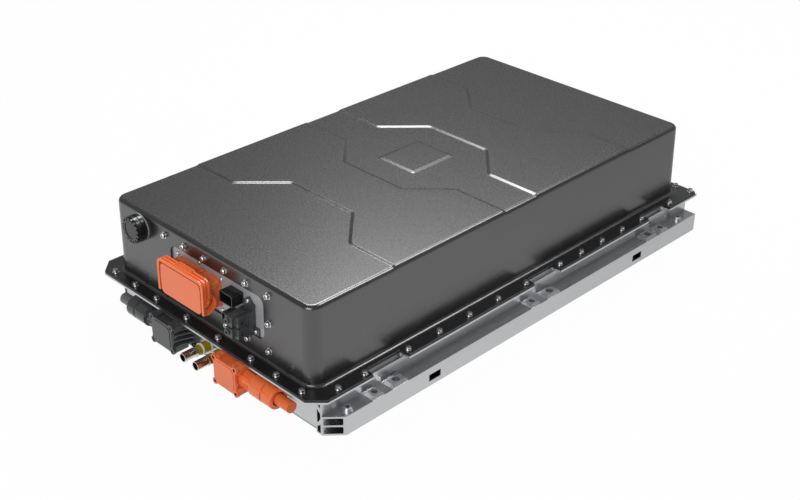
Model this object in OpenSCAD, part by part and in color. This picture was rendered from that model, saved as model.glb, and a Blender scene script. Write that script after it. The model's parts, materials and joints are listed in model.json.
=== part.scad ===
/* [Pack frame] */
// Overall width over the two side rails
pack_w = 630; // [610:1:660]
// Length of the side rails
rail_l = 990; // [940:1:1040]
// Distance from the datum back to the rails' middle
rail_shift = 2; // [0:0.5:4]
// Height of the rails, up to the tray flange
rail_h = 65; // [60:1:75]
// Width of the mounting ledge outside the upright
ledge_w = 26.2; // [25:0.1:34]
// Height of the mounting ledge
ledge_h = 36.5; // [32:0.5:42]
// Width of the upright part of the rail
upright_w = 13.5; // [12:0.5:18]
// Thickness of the rail's outer walls
rail_wall = 3.3; // [2.6:0.1:4]
// Thickness of the rail's upright walls and webs
upright_wall = 2.4; // [2:0.1:3]
// Length cut off the ledge's front corner
ledge_chamfer = 28.6; // [10:0.1:30]
// Length of the bevel across the left front corner of the frame
corner_bevel = 36; // [28:1:50]
// Thickness of the plate that closes the bevelled corner
corner_plate_t = 3; // [2:0.5:4]
// Distance from the rails' ends to the outer faces of the beams
beam_set_back = 5; // [2:0.5:8]
// Depth of a beam along the pack
beam_d = 28; // [22:1:34]
// Wall of the beams
beam_wall = 3; // [2.4:0.1:4]
// Thickness of the bottom plate
bottom_t = 2; // [1.5:0.1:3]
// Thickness of the bottom seal
bottom_seal_t = 1; // [0.5:0.1:2]
// Height of the bottom plate above the rails' undersides
bottom_lift = 0.2; // [0.1:0.1:1]

/* [Mounting points] */
// Distance from the ledge's middle out to a row of mounting holes
mount_offset = 0.6; // [0:0.1:1]
// Distance from half the rails' length in to the outer small mounting holes
small_from_end = 103.4; // [95:0.1:110]
// Distance from the front small mounting hole back to a large one
large_front_gap = 49.3; // [45:0.1:55]
// Distance from the middle small mounting hole back to a large one
large_middle_gap = 49.7; // [45:0.1:55]
// Distance from the rear small mounting hole forward to a large one
large_rear_gap = 41.2; // [39:0.1:48]
// Diameter of the small mounting hole
small_hole_d = 11; // [9:0.5:12]
// Diameter of the large mounting hole
large_hole_d = 13.5; // [12:0.5:14]
// Height of a mounting boss above the ledge
boss_h = 5.5; // [4:0.5:8]
// Width of a mounting boss at its foot
boss_w = 22; // [20:0.5:24]
// Length of a small mounting boss at its foot
small_boss_l = 27; // [24:0.5:30]
// Length of a large mounting boss at its foot
large_boss_l = 38; // [32:0.5:42]
// Slope of a boss's sides, measured along the ledge
boss_slope = 3; // [1:0.5:3]
// Wall of the sleeve below a boss
sleeve_wall = 3.2; // [2.5:0.1:3.5]
// Length of a lifting slot
slot_l = 27.6; // [20:0.1:32]
// Height of a lifting slot
slot_h = 13.3; // [10:0.1:15]
// Height of the lifting slot's lower edge
slot_z = 9.4; // [6:0.1:12]
// Distance from the front large mounting hole back to the front lifting slot
slot_front_gap = 79.5; // [68:0.1:90]
// Distance from the rear large mounting hole forward to the rear lifting slot
slot_rear_gap = 48.3; // [36:0.1:60]
// Diameter of the thread in an end insert
insert_d = 8; // [6:0.5:9]
// Distance from the rail's front end to the front insert
insert_front_gap = 43; // [41:0.5:48]
// Distance from the rails' rear ends to the rear inserts
insert_rear_gap = 44.7; // [35:0.1:50]

/* [Sealing flange] */
// Distance from the side of the ledge in to the flange's edge
flange_side_step = 14.4; // [11:0.1:17]
// Distance that the flange stands out in front of the rails
flange_front_lap = 22.2; // [18:0.1:28]
// Distance that the flange stands out behind the rails
flange_rear_lap = 20; // [17:0.1:26]
// Length cut off each front corner of the flange
flange_chamfer = 25.7; // [10:0.1:32]
// Length cut off each rear corner of the cover
rear_chamfer = 6; // [2:0.5:10]
// Thickness of the tray's flange
tray_flange_t = 3.8; // [3:0.1:5]
// Thickness of the gasket
gasket_t = 2; // [1:0.1:3]
// Thickness of the cover's flange
cover_flange_t = 3; // [2.5:0.1:4]
// Depth of the bolt access notches
notch_depth = 20.1; // [15:0.1:21]
// Slope of a notch's ends
notch_lead = 2.5; // [0:0.5:4]
// Inset of the screw rows from the flange's edge
screw_inset = 11; // [9:0.1:13]
// Length of the front notch, in front of and behind the middle of its mounting points
notch_front_l = 81.3; // [78:0.1:84]
// Length of the middle notch
notch_middle_l = 74.3; // [72:0.1:78]
// Length of the rear notch
notch_rear_l = 70.2; // [68:0.1:74]
// Distance from the middle to the inner screws along the ends
end_screw_first = 43.4; // [38:0.1:46]
// Distance between the two inner screws on each half of an end
end_screw_pitch = 86.9; // [80:0.1:92]
// Distance from the flange's side to the second screw of an end
end_screw_second = 106.6; // [100:0.1:112]
// Distance from the flange's side to the first screw of an end
end_screw_corner = 44.6; // [42:0.1:50]

/* [Cover] */
// Distance from the flange's side edges to the cover's foot
cover_side_step = 34.6; // [33:0.1:37]
// Distance from the flange's front edge to the cover's foot
cover_end_step = 26.2; // [24:0.1:30]
// Height of the cover above the flange
cover_h = 147.3; // [140:0.1:160]
// Wall of the cover
cover_wall = 3; // [2.5:0.1:4]
// Draft of the cover's walls in degrees
cover_draft = 1.2; // [0.5:0.1:2]
// Radius of the cover's upright corners at the foot
cover_corner_r = 24; // [18:1:30]
// Radius of the cover's top edge
cover_edge_r = 8; // [5:0.5:10]
// Radius of the fillet at the cover's foot
cover_foot_r = 5; // [2:0.5:6]
// Height of the raised zones on top
zone_h = 2; // [1:0.1:4]

/* [Service panel] */
// Width of the window in the front wall
window_w = 247.4; // [240:0.1:255]
// Height of the window
window_h = 80; // [76:0.5:86]
// Sideways place of the window's middle
window_x = 24.6; // [20:0.1:30]
// Height of the window's middle above the flange
window_z = 76.2; // [74:0.1:80]
// Radius of the window's corners
window_r = 14; // [4:0.5:16]
// Width of the clamped rim round the window
rim_w = 23; // [21:0.5:25]
// Thickness of the service panel
panel_t = 3; // [2:0.1:4]
// Thickness of the panel's gasket
panel_gasket_t = 1; // [0.5:0.1:2]

/* [Service disconnect] */
// Sideways place of the disconnect's middle
msd_x = -22.5; // [-26:0.1:-20]
// Height of the disconnect's middle above the flange
msd_z = 74; // [72:0.1:77]
// Width of the plug's body
msd_w = 114; // [110:0.5:116]
// Height of the plug's body
msd_h = 56; // [52:0.5:58]
// Reach of the lever's front face from the wall
msd_reach = 38.6; // [36:0.1:44]
// Gap between the plug's sides and the lever's arms
lever_side_gap = 0.7; // [0.4:0.05:1.2]
// Thickness of the lever's arms
lever_arm_t = 5; // [4:0.1:5.4]
// Thickness of the lever's top bar
lever_bar_t = 5.5; // [5:0.5:7]
// Depth of the lever's top bar
lever_bar_d = 15.5; // [12:0.5:18]
// Height of the lever's pivot above the flange
lever_pivot_z = 74.2; // [70:0.1:78]
// Distance from the lever's front face to its pivot
lever_pivot_d = 6.6; // [5:0.1:9]
// Height of the lever's top above its pivot
lever_top = 39; // [37:0.5:44]
// Radius of the lever's cam
lever_cam_r = 18.5; // [16:0.5:20]
// Diameter of the lever's pivot pins
pivot_pin_d = 9; // [6:0.5:10]
// Running clearance of the lever
lever_clear = 0.3; // [0.2:0.05:0.5]

/* [Signal connectors] */
// Width of the upper signal socket
lv_upper_w = 32.8; // [30:0.2:34]
// Width of the lower signal socket
lv_lower_w = 29; // [26:0.5:29]
// Height of an open signal socket
lv_h = 21.2; // [18:0.2:21.6]
// Reach of the open sockets from the wall
lv_reach = 20; // [16:0.5:24]
// Wall of the signal sockets
lv_wall = 1.8; // [1.4:0.1:2.2]
// Sideways place of the upper socket
lv_upper_x = 76.7; // [74:0.1:76.7]
// Height of the upper socket above the flange
lv_upper_z = 93; // [93:0.1:96]
// Sideways place of the lower socket
lv_lower_x = 78; // [73:0.5:78]
// Height of the lower socket above the flange
lv_lower_z = 53.2; // [50:0.2:54]
// Sideways place of the side plug
lv_plug_x = 108.4; // [108.4:0.1:110]
// Height of the side plug's middle above the flange
lv_plug_z = 59.6; // [59:0.1:59.8]
// Width of the side plug
lv_plug_w = 26.5; // [24:0.5:26.5]
// Height of one tier of the side plug
lv_tier_h = 19; // [16:0.5:19]
// Groove between the tiers
lv_tier_gap = 2; // [1:0.5:3]
// Reach of the side plug from the wall
lv_plug_reach = 37.2; // [34:0.1:42]
// Distance by which the plug's outer half stands back
lv_plug_step = 6; // [3:0.5:8]

/* [Breather valve] */
// Sideways place of the valve
valve_x = -184.5; // [-190:0.5:-175]
// Height of the valve above the flange
valve_z = 116.2; // [108:0.1:117]
// Diameter of the valve's cap
valve_d = 50; // [44:0.5:52]
// Reach of the cap from the wall
valve_reach = 22; // [18:0.5:26]
// Diameter of the valve's threaded neck
valve_neck_d = 30; // [24:1:34]

/* [Power connectors] */
// Sideways place of the negative connector
hv_minus_x = -83.6; // [-90:0.1:-80]
// Sideways place of the positive connector
hv_plus_x = 91.1; // [90:0.1:97]
// Height of the power connectors
hv_z = 35; // [33:0.1:35]
// Width of the connector's body
hv_body_w = 57; // [54:0.5:60]
// Height of the connector's body
hv_body_h = 52; // [48:0.5:54]
// Distance between the cover screws sideways
hv_screw_w = 54.6; // [50:0.1:56]
// Distance between the cover screws upright
hv_screw_h = 47.2; // [46:0.1:47.2]
// Radius of a screw lug
hv_lug_r = 6.3; // [5.4:0.1:6.3]
// Reach of the connector from the beam
hv_reach = 44.6; // [42:0.1:48]
// Thickness of the connector's cover
hv_cover_t = 6; // [4:0.5:8]
// Wall of the connector's housing
hv_wall = 3; // [2.5:0.1:4]
// Width of the connector's base flange
hv_base_w = 90; // [86:0.5:92]
// Height of the connector's base flange
hv_base_h = 56; // [54:0.5:58]
// Thickness of the base flange
hv_base_t = 4; // [3:0.5:5]
// Distance from the beam to the gland's axis
gland_y = 20.8; // [20.4:0.1:22]
// Diameter of the gland's neck
gland_neck_d = 34; // [30:0.5:36]
// Width across the flats of the gland body
gland_flats = 34; // [32:0.5:35]
// Diameter of the gland's cap nut
gland_nut_d = 39; // [36:0.5:40]
// Place of the gland body's near end along its axis
gland_hex_start = 55; // [52:0.5:58]
// Place of the gland body's far end along its axis
gland_hex_end = 88; // [84:0.5:92]
// Place of the cap nut's far end along its axis
gland_nut_end = 112; // [106:0.5:118]
// Diameter of the power cable
cable_d = 20.5; // [18:0.5:22]
// Place of the power cable's cut end along its axis
cable_end = 144; // [125:0.5:160]
// Diameter of the connector's spigot through the beam
spigot_d = 38; // [32:0.5:42]

/* [Coolant ports] */
// Sideways place of the coolant inlet
inlet_x = 1; // [-4:0.5:3]
// Distance between the two coolant ports
port_pitch = 35; // [33:0.5:36]
// Height of the coolant ports
port_z = 35.2; // [30:0.1:40]
// Outer diameter of a coolant tube
tube_d = 17; // [14:0.5:18]
// Wall of a coolant tube
tube_wall = 1.5; // [1:0.1:2]
// Reach of the tubes from the beam
tube_reach = 61.4; // [50:0.1:70]
// Diameter of the bead on a tube
bead_d = 19.6; // [19:0.1:22]

/* [Cells] */
// Number of cells in a row
cell_count = 10; // [8:1:10]
// Distance from the cover's foot to the end plates beside a row
row_side_gap = 18; // [16:0.5:24]
// Gap between a row and the cross beams before and behind it
row_end_gap = 3.5; // [2:0.1:8]
// Height of a cell
cell_h = 170; // [150:1:176]
// Gap between neighbouring cells
cell_gap = 0.4; // [0.2:0.1:0.6]
// Length of the bay for switchgear between the front beam and the first cross beam's middle
bay_l = 122.5; // [115:0.5:130]
// Distance from the last row's pitch to the rear beam
row_rear_gap = 21.5; // [16:0.5:30]
// Thickness of the cold plate
cold_plate_t = 12; // [10:0.5:14]
// Width of a cross beam
cross_beam_w = 14; // [10:0.5:16]
// Thickness of an end plate
end_plate_t = 8; // [6:0.5:9]

/* [Hidden] */
$fn = 48;

half_w = pack_w / 2;
rail_front = rail_l / 2 - rail_shift;
rail_rear = rail_l / 2 + rail_shift;
beam_front = rail_front - beam_set_back;
beam_rear = rail_rear - beam_set_back;
upright_out = half_w - ledge_w;
upright_in = upright_out - upright_w;
tray_top = rail_h + tray_flange_t;
gasket_top = tray_top + gasket_t;
flange_top = gasket_top + cover_flange_t;
floor_top = bottom_lift + bottom_t + bottom_seal_t;
plate_top = floor_top + cold_plate_t;
outlet_x = inlet_x + port_pitch;
bevel_x = corner_bevel - upright_out;
mount_x = half_w - ledge_w / 2 + mount_offset;
small_pitch = rail_l / 2 - small_from_end;
small_holes = [for (k = [-1 : 1]) k * small_pitch];
large_front = -small_pitch + large_front_gap;
large_rear = small_pitch - large_rear_gap;
large_holes = [large_front, large_middle_gap, large_rear];
slots = [large_front + slot_front_gap, large_rear - slot_rear_gap];
insert_front = insert_front_gap - rail_front;
insert_rear = rail_rear - insert_rear_gap;
flange_w = pack_w - 2 * flange_side_step;
flange_front = rail_front + flange_front_lap;
flange_rear = rail_rear + flange_rear_lap;
cover_w = flange_w - 2 * cover_side_step;
cover_l = 2 * (flange_front - cover_end_step);
tilt = tan(cover_draft);
lever_w = msd_w + 2 * (lever_arm_t + lever_side_gap);
row_pitch = (beam_front + beam_rear - 2 * beam_d - bay_l - row_rear_gap) / 4;
row_first = bay_l + beam_d - beam_front + row_pitch / 2;
cell_l = row_pitch - cross_beam_w - 2 * row_end_gap;
cell_t = (cover_w - 2 * row_side_gap - 2 * end_plate_t) / cell_count;

// Middle and length of each bolt access notch in the flange's long sides
notches = [[large_front - 7.6, notch_front_l], [large_middle_gap - 4, notch_middle_l],
    [small_pitch - 3.4, notch_rear_l]];
function notch_start(n) = notches[n][0] - notches[n][1] / 2;
function notch_end(n) = notches[n][0] + notches[n][1] / 2;
// First screw, pitch and count of a group of screws between two places along a long side
function screw_group(first, last, count) = [first, (last - first) / (count - 1), count];
side_groups = [screw_group(57.6 - flange_front, notch_start(0) - 9.35, 2),
    screw_group(notch_end(0) + 8.15, notch_start(1) - 12.05, 5),
    screw_group(notch_end(1) + 9.35, notch_start(2) - 10.5, 5),
    screw_group(notch_end(2) + 12.5, flange_rear - 9, 2)];
// Sideways places of the screws along the front and the rear edge
end_places = [end_screw_first, end_screw_first + end_screw_pitch, flange_w / 2 - end_screw_second,
    flange_w / 2 - end_screw_corner];
// Grid of the service panel's own screws
window_screw_x = 13.4;
window_screw_z = 12;
window_pitch_x = (window_w + 2 * window_screw_x) / 5;
window_pitch_z = (window_h + 2 * window_screw_z) / 2;
// Reach of the cutters that bevel a corner
cut_reach = 120;

screw_head_d = 9.6;
screw_head_h = 5.4;
washer_d = 12.4;
washer_t = 1.2;
screw_d = 6;
screw_fit = 0.25;
link_r = 5;
eps = 0.01;

// Block between its lowest and highest corner
module block(low, high) {
    translate(low) cube(high - low);
}

// Rectangle with round corners, centred
module round_rect(w, h, r) {
    square([w - 2 * r, h], center = true);
    square([w, h - 2 * r], center = true);
    for (sx = [-1, 1], sy = [-1, 1])
        translate([sx * (w / 2 - r), sy * (h / 2 - r)]) circle(r);
}

// Round-cornered plate that stands upright, from y0 to y1, centred on x and z
module upright_plate(w, h, r, y0, y1) {
    translate([0, y1, 0]) rotate([90, 0, 0]) linear_extrude(y1 - y0) round_rect(w, h, r);
}

// Cylinder along Y from y0 to y1
module y_rod(r, y0, y1) {
    translate([0, y1, 0]) rotate([90, 0, 0]) cylinder(h = y1 - y0, r = r);
}

// Cap screw that points down along -Z, its head seated at z = 0
module cap_screw(shank_l, shank_d, head_d, head_h) {
    edge = head_h * 0.16;
    difference() {
        union() {
            cylinder(h = head_h - edge, r = head_d / 2);
            translate([0, 0, head_h - edge]) cylinder(h = edge, r1 = head_d / 2, r2 = head_d / 2 - edge);
            translate([0, 0, -shank_l]) cylinder(h = shank_l, r = shank_d / 2);
        }
        translate([0, 0, head_h * 0.4]) cylinder(h = head_h, r = head_d * 0.31, $fn = 6);
    }
}

// Cap screw on its washer, for the flange and the window
module washer_screw(shank_l) {
    cylinder(h = washer_t, r = washer_d / 2);
    translate([0, 0, washer_t]) cap_screw(shank_l + washer_t, screw_d, screw_head_d, screw_head_h);
}

// Frame of the drafted front wall: y = 0 is its outer face, z = 0 is the flange's top
module on_front_wall(x = 0, z = 0) {
    translate([0, -cover_l / 2, flange_top]) rotate([-cover_draft, 0, 0]) translate([x, 0, z]) children();
}

// Frame and sealing flange

// Outline of the rail's section, with its closed cells
module rail_section() {
    cell_in = upright_in + upright_wall;
    cell_out = upright_out - rail_wall;
    web_z = ledge_h / 2;
    chamber_in = upright_out + 1;
    chamber_out = half_w - rail_wall;
    chamber_h = (ledge_h - 3 * rail_wall) / 2;
    difference() {
        union() {
            translate([upright_in, 0]) square([upright_w, rail_h]);
            translate([upright_out - eps, 0]) square([ledge_w + eps, ledge_h]);
        }
        polygon([[cell_in, rail_h - upright_wall], [cell_out, rail_h - upright_wall],
            [cell_out, rail_h - 14], [cell_in, rail_h - 7]]);
        polygon([[cell_in, rail_h - 17.5], [cell_out, rail_h - 24], [cell_out, rail_h - 33.5],
            [cell_in + 2.5, rail_h - 42.5], [cell_in, rail_h - 42.5]]);
        polygon([[cell_in, rail_wall], [cell_out, rail_wall], [cell_out, rail_wall + 17], [cell_in + 2, rail_wall + 11.5],
            [cell_in, rail_wall + 11.5]]);
        for (z = [rail_wall, web_z + rail_wall / 2])
            translate([(chamber_in + chamber_out) / 2, z + chamber_h / 2])
                round_rect(chamber_out - chamber_in, chamber_h, 1.8);
    }
}

// Stadium outline along Y
module stadium(w, l) {
    for (s = [-1, 1]) translate([0, s * (l - w) / 2]) circle(w / 2);
    if (l > w) square([w, l - w], center = true);
}

// Right-hand rail before its front end is cut
module rail_blank() {
    difference() {
        translate([0, rail_rear, 0]) rotate([90, 0, 0]) linear_extrude(rail_front + rail_rear) rail_section();
        for (y = small_holes) translate([mount_x, y, -1]) cylinder(h = ledge_h + 2, r = small_sleeve_r() + 0.05);
        for (y = large_holes) translate([mount_x, y, -1]) cylinder(h = ledge_h + 2, r = large_sleeve_r() + 0.05);
        for (y = slots)
            block([half_w - rail_wall - 12, y - slot_l / 2, slot_z], [half_w + 1, y + slot_l / 2, slot_z + slot_h]);
        for (y = [insert_front, insert_rear])
            translate([mount_x, y, ledge_h - rail_wall - 1]) cylinder(h = rail_wall + 2, r = insert_d / 2 + 1.55);
    }
}

module side_rail_right() {
    color("silver") difference() {
        rail_blank();
        translate([upright_out, -rail_front, -1]) rotate([0, 0, atan2(ledge_chamfer, ledge_w)])
            translate([-5, -60, 0]) cube([60, 60, ledge_h + 2]);
    }
}

// Space in front of the bevel across the frame's left front corner
module front_left_bevel() {
    translate([bevel_x, -beam_front, -1]) rotate([0, 0, -45])
        translate([-cut_reach, -cut_reach, 0]) cube([2 * cut_reach, cut_reach, rail_h + 2]);
}

// Welded plate that closes the bevelled corner
module corner_plate() {
    upright_l = (bevel_x + upright_out) * sqrt(2);
    ledge_l = (bevel_x + half_w) * sqrt(2) - corner_plate_t;
    color("#1c1d1f") translate([bevel_x, -beam_front, 0]) rotate([0, 0, 135]) translate([0, corner_plate_t, 0])
        rotate([90, 0, 0]) linear_extrude(corner_plate_t)
            polygon([[0, bottom_lift], [ledge_l, bottom_lift], [ledge_l, ledge_h], [upright_l, ledge_h],
                [upright_l, rail_h], [0, rail_h]]);
}

module side_rail_left() {
    color("silver") difference() {
        mirror([1, 0, 0]) rail_blank();
        front_left_bevel();
    }
}

// Hollow beam between the rails, its outer face at y0
module beam(y0, y1) {
    mid = (floor_top + rail_h) / 2;
    difference() {
        block([-upright_in, y0, floor_top], [upright_in, y1, rail_h]);
        block([-upright_in - 1, y0 + beam_wall, floor_top + beam_wall], [upright_in + 1, y1 - beam_wall, mid - beam_wall / 2]);
        block([-upright_in - 1, y0 + beam_wall, mid + beam_wall / 2], [upright_in + 1, y1 - beam_wall, rail_h - beam_wall]);
    }
}

module front_beam() {
    color("silver") difference() {
        beam(-beam_front, -beam_front + beam_d);
        front_left_bevel();
        for (x = [hv_minus_x, hv_plus_x])
            translate([x, 0, hv_z]) y_rod(spigot_d / 2 + 0.3, -beam_front - 1, -beam_front + beam_d + 1);
        for (x = [inlet_x, outlet_x])
            translate([x, 0, port_z]) y_rod(tube_d / 2 + 0.3, -beam_front - 1, -beam_front + beam_d + 1);
        for (x = [hv_minus_x, hv_plus_x], sx = [-1, 1], sz = [-1, 1])
            translate([x + sx * (hv_base_w / 2 - 6), 0, hv_z + sz * (hv_base_h / 2 - 6)])
                y_rod(2.7, -beam_front - 1, -beam_front + 9);
    }
}

module rear_beam() {
    color("silver") beam(beam_rear - beam_d, beam_rear);
}

// Outline of the flange; rear is the length cut off its rear corners
module flange_outline(rear) {
    w = flange_w / 2;
    f = flange_front;
    b = flange_rear;
    c = flange_chamfer;
    difference() {
        polygon([[-w + c, -f], [w - c, -f], [w, -f + c], [w, b - rear], [w - rear, b], [-w + rear, b], [-w, b - rear],
            [-w, -f + c]]);
        for (s = [-1, 1], n = notches)
            polygon([[s * (w + 1), n[0] - n[1] / 2], [s * (w - notch_depth), n[0] - n[1] / 2 + notch_lead],
                [s * (w - notch_depth), n[0] + n[1] / 2 - notch_lead], [s * (w + 1), n[0] + n[1] / 2]]);
    }
}

// Puts one child at every flange screw
module at_flange_screws() {
    for (s = [-1, 1], g = side_groups, k = [0 : g[2] - 1])
        translate([s * (flange_w / 2 - screw_inset), g[0] + k * g[1], 0]) children();
    for (s = [-1, 1], x = end_places) {
        translate([s * x, -flange_front + screw_inset, 0]) children();
        translate([s * x, flange_rear - screw_inset, 0]) children();
    }
}

// Flat ring with the flange's outline, from z0 to z1
module flange_ring(z0, z1, rear, hole_r) {
    inner_w = cover_w - 2 * cover_wall;
    inner_l = cover_l - 2 * cover_wall;
    difference() {
        translate([0, 0, z0]) linear_extrude(z1 - z0) difference() {
            flange_outline(rear);
            round_rect(inner_w, inner_l, cover_corner_r - cover_wall);
        }
        at_flange_screws() translate([0, 0, z0 - 1]) cylinder(h = z1 - z0 + 2, r = hole_r);
    }
}

module sealing_flange() {
    color("gainsboro") flange_ring(rail_h, tray_top, 0.5, screw_d / 2 + 0.05);
}

module cover_gasket() {
    color("dimgray") flange_ring(tray_top, gasket_top, rear_chamfer, screw_d / 2 + screw_fit);
}

module flange_screws() {
    color("lightgray") translate([0, 0, flange_top]) at_flange_screws() washer_screw(flange_top - rail_h);
}

module bottom_plate() {
    color("cadetblue") difference() {
        block([-upright_in, -beam_front, bottom_lift], [upright_in, beam_rear, bottom_lift + bottom_t]);
        front_left_bevel();
    }
}

module bottom_seal() {
    z0 = bottom_lift + bottom_t;
    color("teal") difference() {
        block([-upright_in, -beam_front, z0], [upright_in, beam_rear, floor_top]);
        block([-upright_in + 12, -beam_front + beam_d, z0 - 1], [upright_in - 12, beam_rear - beam_d, floor_top + 1]);
        front_left_bevel();
    }
}

// Mounting points

function small_sleeve_r() = small_hole_d / 2 + sleeve_wall;
function large_sleeve_r() = large_hole_d / 2 + sleeve_wall;

// Block whose four sides slope inward to its top
module sloped_block(w, l, slope_w, slope_l, h) {
    intersection() {
        translate([0, l / 2, 0]) rotate([90, 0, 0]) linear_extrude(l)
            polygon([[-w / 2, 0], [w / 2, 0], [w / 2 - slope_w, h], [-w / 2 + slope_w, h]]);
        translate([-w / 2, 0, 0]) rotate([90, 0, 90]) linear_extrude(w)
            polygon([[-l / 2, 0], [l / 2, 0], [l / 2 - slope_l, h], [-l / 2 + slope_l, h]]);
    }
}

// Sleeve pressed into the ledge, with a block-shaped boss on top
module bushing(hole_d, sleeve_r, l) {
    difference() {
        union() {
            cylinder(h = ledge_h, r = sleeve_r);
            translate([0, 0, ledge_h]) sloped_block(boss_w, l, boss_slope, boss_slope * 1.5, boss_h);
        }
        translate([0, 0, -1]) cylinder(h = ledge_h + boss_h + 2, r = hole_d / 2);
    }
}

module mount_bushings_small() {
    color("darkgray") for (s = [-1, 1], y = small_holes)
        translate([s * mount_x, y, 0]) bushing(small_hole_d, small_sleeve_r(), small_boss_l);
}

module mount_bushings_large() {
    color("darkgray") for (s = [-1, 1], y = large_holes)
        translate([s * mount_x, y, 0]) bushing(large_hole_d, large_sleeve_r(), large_boss_l);
}

// Flanged nut set in the ledge's top wall
module rivet_nut() {
    difference() {
        union() {
            translate([0, 0, ledge_h]) cylinder(h = 2.5, r = insert_d / 2 + 4.5);
            translate([0, 0, ledge_h]) cylinder(h = 6.5, r = insert_d / 2 + 2.2);
            translate([0, 0, ledge_h - rail_wall - 9]) cylinder(h = rail_wall + 9, r = insert_d / 2 + 1.5);
        }
        translate([0, 0, ledge_h - rail_wall - 10]) cylinder(h = rail_wall + 18, r = insert_d / 2);
    }
}

module rail_inserts() {
    color("darkgray") {
        translate([mount_x, insert_front, 0]) rivet_nut();
        for (s = [-1, 1]) translate([s * mount_x, insert_rear, 0]) rivet_nut();
    }
}

// Cover

// Half section of the cover's form: r from the corner's axis outward, z up from the flange
module wall_section(reach, top, edge, low) {
    cz = top - edge;
    cr = reach - (edge + sin(cover_draft) * cz) / cos(cover_draft);
    polygon([[0, low], [reach - low * tilt, low], [cr + edge * cos(cover_draft), cz + edge * sin(cover_draft)],
        [cr, top], [0, top]]);
    translate([cr, cz]) circle(edge);
}

// Fillet between wall and flange, on the same half section
module foot_section() {
    difference() {
        translate([cover_corner_r - 1, 0]) square([cover_foot_r + 1, cover_foot_r]);
        translate([cover_corner_r + cover_foot_r, cover_foot_r]) circle(cover_foot_r);
    }
}

// Sweeps a half section round the box: four corners, two sides and two ends
module sweep_box() {
    ax = cover_w / 2 - cover_corner_r;
    ay = cover_l / 2 - cover_corner_r;
    for (sx = [0, 1], sy = [0, 1]) mirror([sx, 0, 0]) mirror([0, sy, 0])
        translate([ax, ay, 0]) rotate_extrude(angle = 90) children();
    for (sx = [0, 1]) mirror([sx, 0, 0])
        translate([ax, ay, 0]) rotate([90, 0, 0]) linear_extrude(2 * ay) children();
    for (sy = [0, 1]) mirror([0, sy, 0])
        translate([-ax, ay, 0]) rotate([90, 0, 90]) linear_extrude(2 * ax) children();
}

// Closed form of the cover, inset from its outer face
module cover_form(inset, top, low) {
    ax = cover_w / 2 - cover_corner_r;
    ay = cover_l / 2 - cover_corner_r;
    sweep_box() wall_section(cover_corner_r - inset, top - inset, cover_edge_r - inset, low);
    block([-ax, -ay, low], [ax, ay, top - inset]);
}

// Crease across the top: y_out at the sides steps to y_in in the middle, from side in to the wall over step_w
function crease(y_out, y_in, side, step_w) =
    let (x_out = cover_w / 2 - side, x_in = x_out - step_w)
    [[-cover_w, y_out], [-x_out, y_out], [-x_in, y_in], [x_in, y_in], [x_out, y_out], [cover_w, y_out]];
function backwards(points) = [for (k = [len(points) - 1 : -1 : 0]) points[k]];

// Outline of the low zones on top: both ends and a channel round the middle island
module low_outline() {
    front = -cover_l / 2;
    rear = cover_l / 2;
    island_w = 87.2;
    polygon(concat([[cover_w, -cover_l], [-cover_w, -cover_l]], crease(front + 185, front + 260, 111.5, 73.5)));
    polygon(concat([[cover_w, cover_l], [-cover_w, cover_l]], crease(rear - 171, rear - 242, 109.5, 76.5)));
    difference() {
        polygon(concat(crease(-37, -104, 122, 68), backwards(crease(50, 123, 121, 70))));
        translate([-island_w / 2, -43]) square([island_w, 101]);
    }
}

// Cover form with the low zones cut down, inset from its outer face
module zoned_form(inset, low) {
    difference() {
        cover_form(inset, cover_h + zone_h, low);
        translate([0, 0, cover_h - inset]) linear_extrude(zone_h + cover_wall + 1) low_outline();
    }
}

// Puts one child at every screw of the service window, in the wall's frame
module at_window_screws() {
    for (i = [0 : 5], k = [-1 : 1])
        if (k != 0 || i == 0 || i == 5)
            on_front_wall(window_x + (i - 2.5) * window_pitch_x, window_z + k * window_pitch_z) children();
}

module top_cover() {
    color("dimgray") difference() {
        union() {
            translate([0, 0, gasket_top]) linear_extrude(cover_flange_t) flange_outline(rear_chamfer);
            translate([0, 0, flange_top]) {
                zoned_form(0, 0);
                sweep_box() foot_section();
            }
        }
        translate([0, 0, flange_top]) zoned_form(cover_wall, -cover_flange_t - 1);
        at_flange_screws() translate([0, 0, gasket_top - 1])
            cylinder(h = cover_flange_t + 2, r = screw_d / 2 + screw_fit);
        at_window_screws() y_rod(screw_d / 2 + screw_fit, -1, cover_wall + 1);
        on_front_wall(window_x, window_z) upright_plate(window_w, window_h, window_r, -1, cover_wall + 1);
        on_front_wall(valve_x, valve_z) y_rod(valve_neck_d / 2 + 0.2, -1, cover_wall + 1);
    }
}

// Breather valve

module valve_seal() {
    color("darkslategray") on_front_wall(valve_x, valve_z) difference() {
        y_rod(valve_d / 2 + 0.6, -2, 0);
        y_rod(valve_neck_d / 2 + 0.2, -3, 1);
    }
}

module valve_body() {
    color("black") on_front_wall(valve_x, valve_z) difference() {
        union() {
            y_rod(valve_d / 2, -9, -2);
            y_rod(valve_neck_d / 2, -2 - eps, cover_wall);
            y_rod(valve_neck_d / 2 + 5, cover_wall, cover_wall + 6);
            y_rod(valve_d / 2 - 6, -valve_reach + 5, -9 + eps);
        }
        y_rod(valve_neck_d / 2 - 4, -valve_reach + 8, cover_wall + 7);
    }
}

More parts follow.
